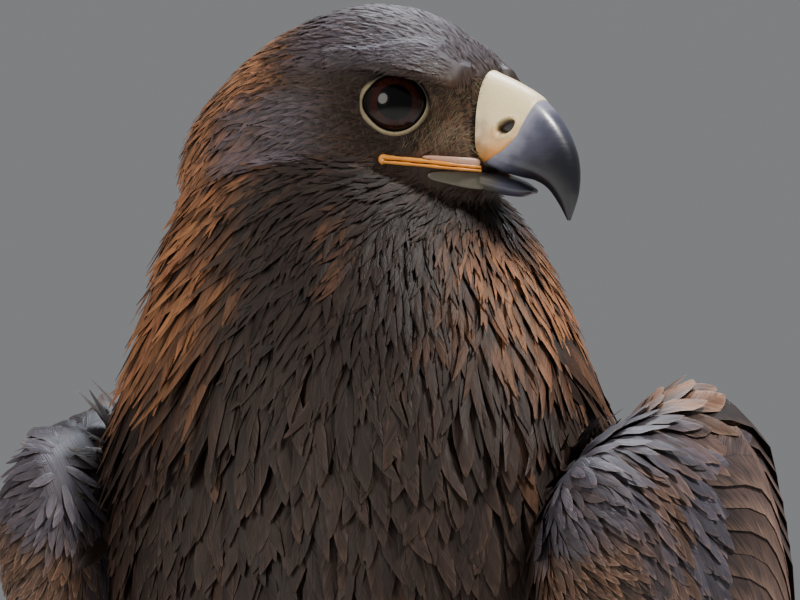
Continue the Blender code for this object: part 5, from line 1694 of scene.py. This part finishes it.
def make_gape():
    """The yellow lips, a rosy strip of bare skin over them, and the bare side of the lower bill."""
    for side, sign in SIDES:
        plates = (
            (gape_lips(sign), 0.0),
            (gape_plate(sign, 2.2, 0.7, 1.4, (0.42, 1.05)), 1.0),
            (gape_plate(sign, -4.1, 0.7, 3.2, (0.44, 1.08)), -1.0),
        )
        grids = [grid for grid, _ in plates]
        made, _ = ringed_object(f"gape_lips_{side}", grids, gape_finish())
        lay = []
        for grid, kind in plates:
            count, around = grid.shape[:2]
            i, j = np.meshgrid(np.linspace(0, 1, count), np.linspace(0, 1, around), indexing="ij")
            body = np.column_stack((i.ravel(), j.ravel(), np.full(count * around, kind)))
            lay.append(with_ends(body, (0, 0, kind), (1, 0, kind)))
        set_points(made.data, "Lay", np.concatenate(lay))
        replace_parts(made, f"gape_{side}")
        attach(made, "root")


def make_eyes():
    """Eyeballs with a gently bulging cornea, which look a little forward."""
    for side, sign in SIDES:
        rear, up, gaze = eye_axes(sign)
        centre = eye_centre(sign)
        count, around = 64, 72
        polar = np.linspace(0.012, math.pi - 0.012, count)[:, None]
        turn = turns(around)[None, :]
        radius = EYE_RADIUS + 0.35 * np.exp(-((polar / 0.55) ** 2))
        x, y = np.sin(polar) * np.cos(turn) * radius, np.sin(polar) * np.sin(turn) * radius
        z = np.cos(polar) * radius + 0 * turn
        grid = centre + x[..., None] * rear + y[..., None] * up + z[..., None] * gaze
        made, _ = ringed_object(f"eyeball_{side}", [grid], eye_finish())
        ends = (0, 0, EYE_RADIUS), (0, 0, -EYE_RADIUS)
        set_points(made.data, "Gaze", with_ends(np.stack((x, y, z), -1), *ends))
        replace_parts(made, f"eye_{side}")
        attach(made, "root")


# The lid's section: how far each point lies beyond the opening, and from the middle of the eyeball.
LID_SECTION = (
    (0.0, 13.05), (0.05, 13.45), (0.30, 13.85), (0.75, 14.10), (1.30, 14.10), (1.80, 13.85), (2.25, 13.45),
    (2.9, 13.0), (3.3, 12.2), (2.2, 11.8), (0.8, 12.3),
)


def make_lids():
    """The bare rim of skin round each eye, drawn out to a corner behind it."""
    for side, sign in SIDES:
        rear, up, gaze = eye_axes(sign)
        centre = eye_centre(sign)
        steps = 96
        turn = turns(steps)
        back = np.clip(np.cos(turn), 0, 1)
        fore = np.clip(-np.cos(turn), 0, 1)
        opening = 10.15 + 1.5 * back ** 10 + 0.6 * fore ** 8 - 0.5 * np.clip(np.sin(turn), 0, 1) ** 2
        wide = 0.62 + 1.5 * back ** 8 + 0.12 * np.clip(-np.sin(turn), 0, 1)
        rings, lays = [], []
        for k in range(steps):
            ring = []
            for j, (outer, ball) in enumerate(LID_SECTION):
                reach = opening[k] + outer * wide[k]
                depth = math.sqrt(max(ball ** 2 - min(reach, ball * 0.995) ** 2, 0.01))
                spoke = rear * math.cos(turn[k]) + up * math.sin(turn[k])
                ring.append(centre + spoke * reach + gaze * depth)
                across = j / (len(LID_SECTION) - 1) * 1.5
                # The second number rises toward the top of the rim, a little to its front, where the finish
                # paints the brow's shadow.
                lays.append((across, abs((k / steps + 0.69) % 1 - 0.5) - 0.19, back[k] ** 6))
            rings.append(ring)
        points = np.array(rings).reshape(-1, 3)
        around = len(LID_SECTION)
        i, j = np.meshgrid(np.arange(steps), np.arange(around), indexing="ij")
        a, b = i * around + j, i * around + (j + 1) % around
        c, d = ((i + 1) % steps) * around + (j + 1) % around, ((i + 1) % steps) * around + j
        quads = np.stack((a, b, c, d), -1).reshape(-1, 4)
        if outward_volume(points, quads, np.zeros((0, 3), int)) < 0:
            quads = quads[:, ::-1]
        made = mesh_object(f"lid_{side}", points, [quads], lid_finish())
        set_points(made.data, "Lay", lays)
        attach(made, "root")


def toes_of(sign):
    """The placing and sizes of the four toes of a foot."""
    toes = []
    for spread, length, thick, claw in zip(TOE_SPREAD_DEG, TOE_LENGTHS, TOE_RADII, CLAW_RADII):
        angle = math.radians(spread)
        heading = np.array((-math.sin(angle) * sign, -math.cos(angle), 0))
        start = np.array((sign * FOOT_CENTRE[0], FOOT_CENTRE[1], 0)) + heading * TOE_ROOT
        toes.append(dict(heading=heading, start=start, thick=thick, length=length + TOE_OVERRUN, claw=claw))
    return toes


def toe_grid(toe):
    """A toe with padded joints and overlapping plates along its top, flat where it meets the floor."""
    count, around = 110, 36
    t = np.linspace(0, 1, count)[:, None]
    turn = turns(around, 0.5)[None, :]
    bulge = 1 + 0.10 * np.sin(t * TAU * 1.5 - 0.6)
    fat = toe["thick"] * (1.04 - 0.24 * t) * bulge
    fat = fat * np.where(t > 0.94, np.sqrt(np.clip(1 - ((t - 0.94) / 0.075) ** 2, 0.3, 1)), 1.0)
    top = np.clip(np.sin(turn), 0, 1) ** 0.5
    step = (t * toe["length"] / PLATE_LENGTH) % 1.0
    plate = top * (0.55 * (1 - step) - 0.35)
    pads = np.clip(-np.sin(turn), 0, 1) * 0.4 * np.abs(np.sin(t * toe["length"] / 5.0))
    radius = fat + (plate + pads) * (t < 0.96)
    middle = toe["start"] + toe["heading"] * toe["length"] * t + UP * (toe["thick"] * (0.98 - 0.20 * t))
    side = np.cross(toe["heading"], (0, 0, 1))
    grid = middle[:, None, :] + side * (radius * np.cos(turn))[..., None]
    grid = grid + np.array((0, 0, 1.06)) * (radius * np.sin(turn))[..., None]
    grid[..., 2] = np.maximum(grid[..., 2], 0.0)
    crease = top * np.exp(-((np.minimum(step, 1 - step) / 0.12) ** 2))
    sole = np.clip(-np.sin(turn) - 0.3, 0, 1) + 0 * t
    lay = np.stack((t + 0 * turn, crease, sole), -1)
    return grid, lay


def ball_grid(sign):
    """The sole of a foot."""
    count, around = 40, 48
    polar = np.linspace(0.02, math.pi - 0.02, count)[:, None]
    turn = turns(around)[None, :]
    centre = np.array((sign * FOOT_CENTRE[0], FOOT_CENTRE[1], FOOT_HEIGHT * 0.5))
    flat = np.stack((np.sin(polar) * np.cos(turn), np.sin(polar) * np.sin(turn)), -1) * FOOT_RADIUS
    grid = np.concatenate((flat, (np.cos(polar) * FOOT_HEIGHT * 0.85 + 0 * turn)[..., None]), -1) + centre
    grid[..., 2] = np.maximum(grid[..., 2], 0.0)
    lay = np.zeros(grid.shape)
    return grid, lay


def make_feet():
    """The yellow feet: soles and scaled toes."""
    for side, sign in SIDES:
        pieces = [ball_grid(sign)] + [toe_grid(toe) for toe in toes_of(sign)]
        grids = [grid for grid, _ in pieces]
        made, _ = ringed_object(f"foot_skin_{side}", grids, toe_finish())
        set_points(made.data, "Lay", np.concatenate([with_ends(lay) for _, lay in pieces]))
        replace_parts(made, f"foot_{side}", *[f"toe_{side}_{k}" for k in range(1, 5)])
        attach(made, "root")


def claw_grid(toe):
    """A hooked claw whose tip comes down to just above the floor."""
    count, around = 40, 24
    sweep = math.radians(CLAW_SWEEP_DEG)
    radius, heading = toe["claw"], toe["heading"]
    height = toe["thick"] * 0.86
    start = toe["start"] + heading * (toe["length"] - 3)
    drop = height - CLAW_TIP_HEIGHT
    first = sweep / 2 - math.asin(min(drop / (2 * radius * math.sin(sweep / 2)), 0.9))
    side = np.cross(heading, (0, 0, 1))
    t = np.linspace(0, 1, count)[:, None]
    slope = first - sweep * t
    along = radius * (math.sin(first) - np.sin(slope))
    up = radius * (np.cos(slope) - math.cos(first))
    middle = start + heading * along + UP * (height + up)
    ahead = heading * np.cos(slope) + UP * np.sin(slope)
    rise = np.cross(side, ahead)
    fat = (3.0 + 0.075 * radius) * (1 - t) ** 0.72 + 0.30
    turn = turns(around)[None, :]
    keel = 1 - 0.10 * np.clip(-np.sin(turn), 0, 1)
    across = (fat * 0.82 * np.cos(turn) * keel)[..., None] * side
    grid = middle[:, None, :] + across + (fat * np.sin(turn))[..., None] * rise[:, None, :]
    lay = np.stack((t + 0 * turn, turn / TAU + 0 * t, 0 * t + 0 * turn), -1)
    return grid, lay


def make_claws():
    """The black claws, one on each toe."""
    for side, sign in SIDES:
        pieces = [claw_grid(toe) for toe in toes_of(sign)]
        grids = [grid for grid, _ in pieces]
        made, _ = ringed_object(f"claws_{side}", grids, claw_finish())
        lays = [with_ends(lay, last=(1, 0, 0)) for _, lay in pieces]
        set_points(made.data, "Lay", np.concatenate(lays))
        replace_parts(made, *[f"claw_{side}_{k}" for k in range(1, 5)])
        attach(made, "root")


# The studio.


def soft_light(name, place, aim, size, power, tint):
    lamp = bpy.data.lights.new(name, "AREA")
    lamp.shape = "DISK"
    lamp.size = size
    lamp.energy = power
    lamp.color = tint
    made = bpy.data.objects.new(name, lamp)
    made.location = place
    made.rotation_euler = (Vector(aim) - Vector(place)).to_track_quat("-Z", "Y").to_euler()
    bpy.context.scene.collection.objects.link(made)


def make_stage():
    """A pale floor, soft lights, an even backdrop and the camera at the photograph's angle."""
    setting = bpy.context.scene.eagle_studio
    steps, radius = 96, setting.floor_radius / MM
    turn = turns(steps)
    ring = np.column_stack((np.cos(turn) * radius, np.sin(turn) * radius, np.zeros(steps)))
    disc = [np.arange(steps)[None, :]]
    floor = mesh_object("studio_floor", ring - FRAME_SHIFT * (1, 1, 0), disc, floor_finish())
    azimuth = setting.azimuth
    right = Vector((math.cos(azimuth), math.sin(azimuth), 0))
    ahead = Vector((-math.sin(azimuth), math.cos(azimuth), 0))
    eyes = Vector((np.array(EYE_MIDPOINT) + FRAME_SHIFT) * MM)
    aim = eyes + right * setting.aim_right + Vector((0, 0, setting.aim_up))
    camera = bpy.data.cameras.new("camera")
    camera.lens = setting.lens
    camera.sensor_width = SENSOR_WIDTH
    made = bpy.data.objects.new("camera", camera)
    made.location = aim - ahead * setting.distance
    made.rotation_euler = ahead.to_track_quat("-Z", "Y").to_euler()
    bpy.context.scene.collection.objects.link(made)
    bpy.context.scene.camera = made
    for name, forward, aside, high, size, share, tint in LIGHTS:
        place = eyes + ahead * forward + right * aside + Vector((0, 0, high))
        soft_light(name, place, eyes, size, setting.key_power * share, tint)
    world = bpy.data.worlds.new("studio")
    world.use_nodes = True
    backdrop = world.node_tree.nodes["Background"]
    backdrop.inputs["Color"].default_value = (*setting.backdrop, 1.0)
    backdrop.inputs["Strength"].default_value = setting.backdrop_light
    bpy.context.scene.world = world


# The add-on.


def tone(name, description, default):
    return FloatVectorProperty(
        name=name, description=description, default=default, size=3, subtype="COLOR", min=0, max=1
    )


def length(name, description, default, **limits):
    return FloatProperty(name=name, description=description, default=default, subtype="DISTANCE", **limits)


class EagleColours(bpy.types.PropertyGroup):
    """The bird's colours."""

    dark: tone("Dark plumage", "Breast, face and the bases of all feathers", (0.015, 0.0076, 0.0054))
    # Bluish grey: the plumage's own grey-brown with a painted sheen of light in it.
    slate_and_sheen: tone("Slate plumage", "Crown, ear coverts and shoulders", (0.048, 0.046, 0.064))
    gold: tone("Golden plumage", "Tips of the hackles", (0.42, 0.185, 0.075))
    rufous: tone("Rufous plumage", "Redder hackles and breast spots", (0.24, 0.095, 0.042))
    tawny: tone("Tawny edges", "Worn pale feather edges", (0.27, 0.17, 0.12))
    lore: tone("Lores", "Greyish down between eye and bill", (0.17, 0.135, 0.075))
    lid: tone("Lids", "Bare rim of the eye", (0.36, 0.30, 0.185))
    iris: tone("Iris", "Eye colour", (0.034, 0.0085, 0.005))
    # The cere's pale cream holds a painted highlight over its yellow.
    cere: tone("Cere", "Waxy skin over the bill's root", (0.86, 0.70, 0.40))
    gape: tone("Gape", "Lips at the corner of the mouth", (0.70, 0.27, 0.035))
    jaw: tone("Jaw", "Bare side of the lower bill", (0.105, 0.092, 0.066))
    gape_pink: tone("Bare strip", "Rosy skin above the lips", (0.46, 0.27, 0.19))
    horn_base: tone("Horn at the cere", "Pale root of the bill", (0.25, 0.255, 0.33))
    horn_mid: tone("Horn half way", "Middle of the bill", (0.060, 0.062, 0.095))
    horn_tip: tone("Horn at the hook", "Tip of the bill", (0.007, 0.007, 0.011))
    toe: tone("Toes", "Scaled skin of the toes", (0.74, 0.50, 0.11))
    claw: tone("Claws", "Horn of the claws", (0.012, 0.011, 0.012))
    floor: tone("Floor", "Studio floor", (0.72, 0.72, 0.70))


class EagleSizes(bpy.types.PropertyGroup):
    """How finely the bird is covered."""

    skin_voxel: length("Skin grain", "Size of the skin's facets", 0.0026, min=0.001, max=0.01)
    density: FloatProperty(
        name="Density", description="Feathers per length, against the usual", default=1.0, min=0.3, max=1.25
    )


class EagleStudio(bpy.types.PropertyGroup):
    """The camera, the lights and the floor."""

    azimuth: FloatProperty(
        name="Azimuth", description="Camera's turn round the bird", default=math.radians(22), subtype="ANGLE"
    )
    distance: length("Distance", "From camera to aim", 1.8, min=0.3)
    lens: FloatProperty(name="Lens", description="Focal length in millimetres", default=231.0, min=10)
    aim_right: length("Aim right", "Aim beside the eyes", -0.0116)
    aim_up: length("Aim up", "Aim above the eyes", -0.0684)
    floor_radius: length("Floor", "Radius of the floor", 3.0, min=0.5)
    key_power: FloatProperty(
        name="Key light", description="Power of the main light", default=42.0, min=0, subtype="POWER"
    )
    backdrop: tone("Backdrop", "Colour behind the bird", (0.50, 0.51, 0.53))
    backdrop_light: FloatProperty(
        name="Backdrop light", description="Strength of the backdrop", default=0.42, min=0
    )


class EagleStep:
    """What the steps share."""

    bl_options = {"REGISTER", "UNDO"}


class EAGLE_OT_skin(EagleStep, bpy.types.Operator):
    """Fuse the skin and the brows"""

    bl_idname = "eagle.skin"
    bl_label = "Skin"

    def execute(self, context):
        make_skin()
        return {"FINISHED"}


class EAGLE_OT_eyes(EagleStep, bpy.types.Operator):
    """Make the eyeballs and the lids"""

    bl_idname = "eagle.eyes"
    bl_label = "Eyes and lids"

    def execute(self, context):
        make_eyes()
        make_lids()
        return {"FINISHED"}


class EAGLE_OT_bill(EagleStep, bpy.types.Operator):
    """Make the horn of the bill, the cere and the lips"""

    bl_idname = "eagle.bill"
    bl_label = "Bill, cere and gape"

    def execute(self, context):
        make_bill()
        make_cere()
        make_gape()
        return {"FINISHED"}


class EAGLE_OT_face(EagleStep, bpy.types.Operator):
    """Grow the small feathers of the head"""

    bl_idname = "eagle.face"
    bl_label = "Head plumage"

    def execute(self, context):
        grow_face()
        return {"FINISHED"}


class EAGLE_OT_neck(EagleStep, bpy.types.Operator):
    """Grow the hackles and the front of the neck"""

    bl_idname = "eagle.neck"
    bl_label = "Neck plumage"

    def execute(self, context):
        grow_neck()
        return {"FINISHED"}


class EAGLE_OT_body(EagleStep, bpy.types.Operator):
    """Grow the plumage of breast, back and vent"""

    bl_idname = "eagle.body"
    bl_label = "Body plumage"

    def execute(self, context):
        grow_cape()
        grow_body()
        return {"FINISHED"}


class EAGLE_OT_wings(EagleStep, bpy.types.Operator):
    """Grow both folded wings"""

    bl_idname = "eagle.wings"
    bl_label = "Wings"

    def execute(self, context):
        for side, _ in SIDES:
            grow_wing(side)
        return {"FINISHED"}


class EAGLE_OT_tail(EagleStep, bpy.types.Operator):
    """Grow the tail"""

    bl_idname = "eagle.tail"
    bl_label = "Tail"

    def execute(self, context):
        grow_tail()
        return {"FINISHED"}


class EAGLE_OT_legs(EagleStep, bpy.types.Operator):
    """Grow the feathers of the legs"""

    bl_idname = "eagle.legs"
    bl_label = "Leg plumage"

    def execute(self, context):
        grow_legs()
        return {"FINISHED"}


class EAGLE_OT_feet(EagleStep, bpy.types.Operator):
    """Make the feet and the claws"""

    bl_idname = "eagle.feet"
    bl_label = "Feet and claws"

    def execute(self, context):
        make_feet()
        make_claws()
        return {"FINISHED"}


class EAGLE_OT_stage(EagleStep, bpy.types.Operator):
    """Set up the floor, the lights and the camera"""

    bl_idname = "eagle.stage"
    bl_label = "Studio"

    def execute(self, context):
        make_stage()
        return {"FINISHED"}


STEPS = (
    EAGLE_OT_skin,
    EAGLE_OT_eyes,
    EAGLE_OT_bill,
    EAGLE_OT_face,
    EAGLE_OT_neck,
    EAGLE_OT_body,
    EAGLE_OT_wings,
    EAGLE_OT_tail,
    EAGLE_OT_legs,
    EAGLE_OT_feet,
    EAGLE_OT_stage,
)


class EAGLE_PT_panel(bpy.types.Panel):
    """Lists the steps and settings of the eagle"""

    bl_label = "Golden eagle"
    bl_idname = "EAGLE_PT_panel"
    bl_space_type = "VIEW_3D"
    bl_region_type = "UI"
    bl_category = "Eagle"

    def draw(self, context):
        layout = self.layout
        for group in (context.scene.eagle_sizes, context.scene.eagle_colours, context.scene.eagle_studio):
            box = layout.box()
            for key in group.__annotations__:
                box.prop(group, key)
        for step in STEPS:
            layout.operator(step.bl_idname)


CLASSES = (EagleColours, EagleSizes, EagleStudio, *STEPS, EAGLE_PT_panel)


def register():
    for each in CLASSES:
        bpy.utils.register_class(each)
    bpy.types.Scene.eagle_colours = PointerProperty(type=EagleColours)
    bpy.types.Scene.eagle_sizes = PointerProperty(type=EagleSizes)
    bpy.types.Scene.eagle_studio = PointerProperty(type=EagleStudio)


def unregister():
    del bpy.types.Scene.eagle_studio
    del bpy.types.Scene.eagle_sizes
    del bpy.types.Scene.eagle_colours
    for each in reversed(CLASSES):
        bpy.utils.unregister_class(each)


def main():
    register()
    for step in STEPS:
        group, name = step.bl_idname.split(".")
        getattr(getattr(bpy.ops, group), name)()


if __name__ == "__main__":
    main()
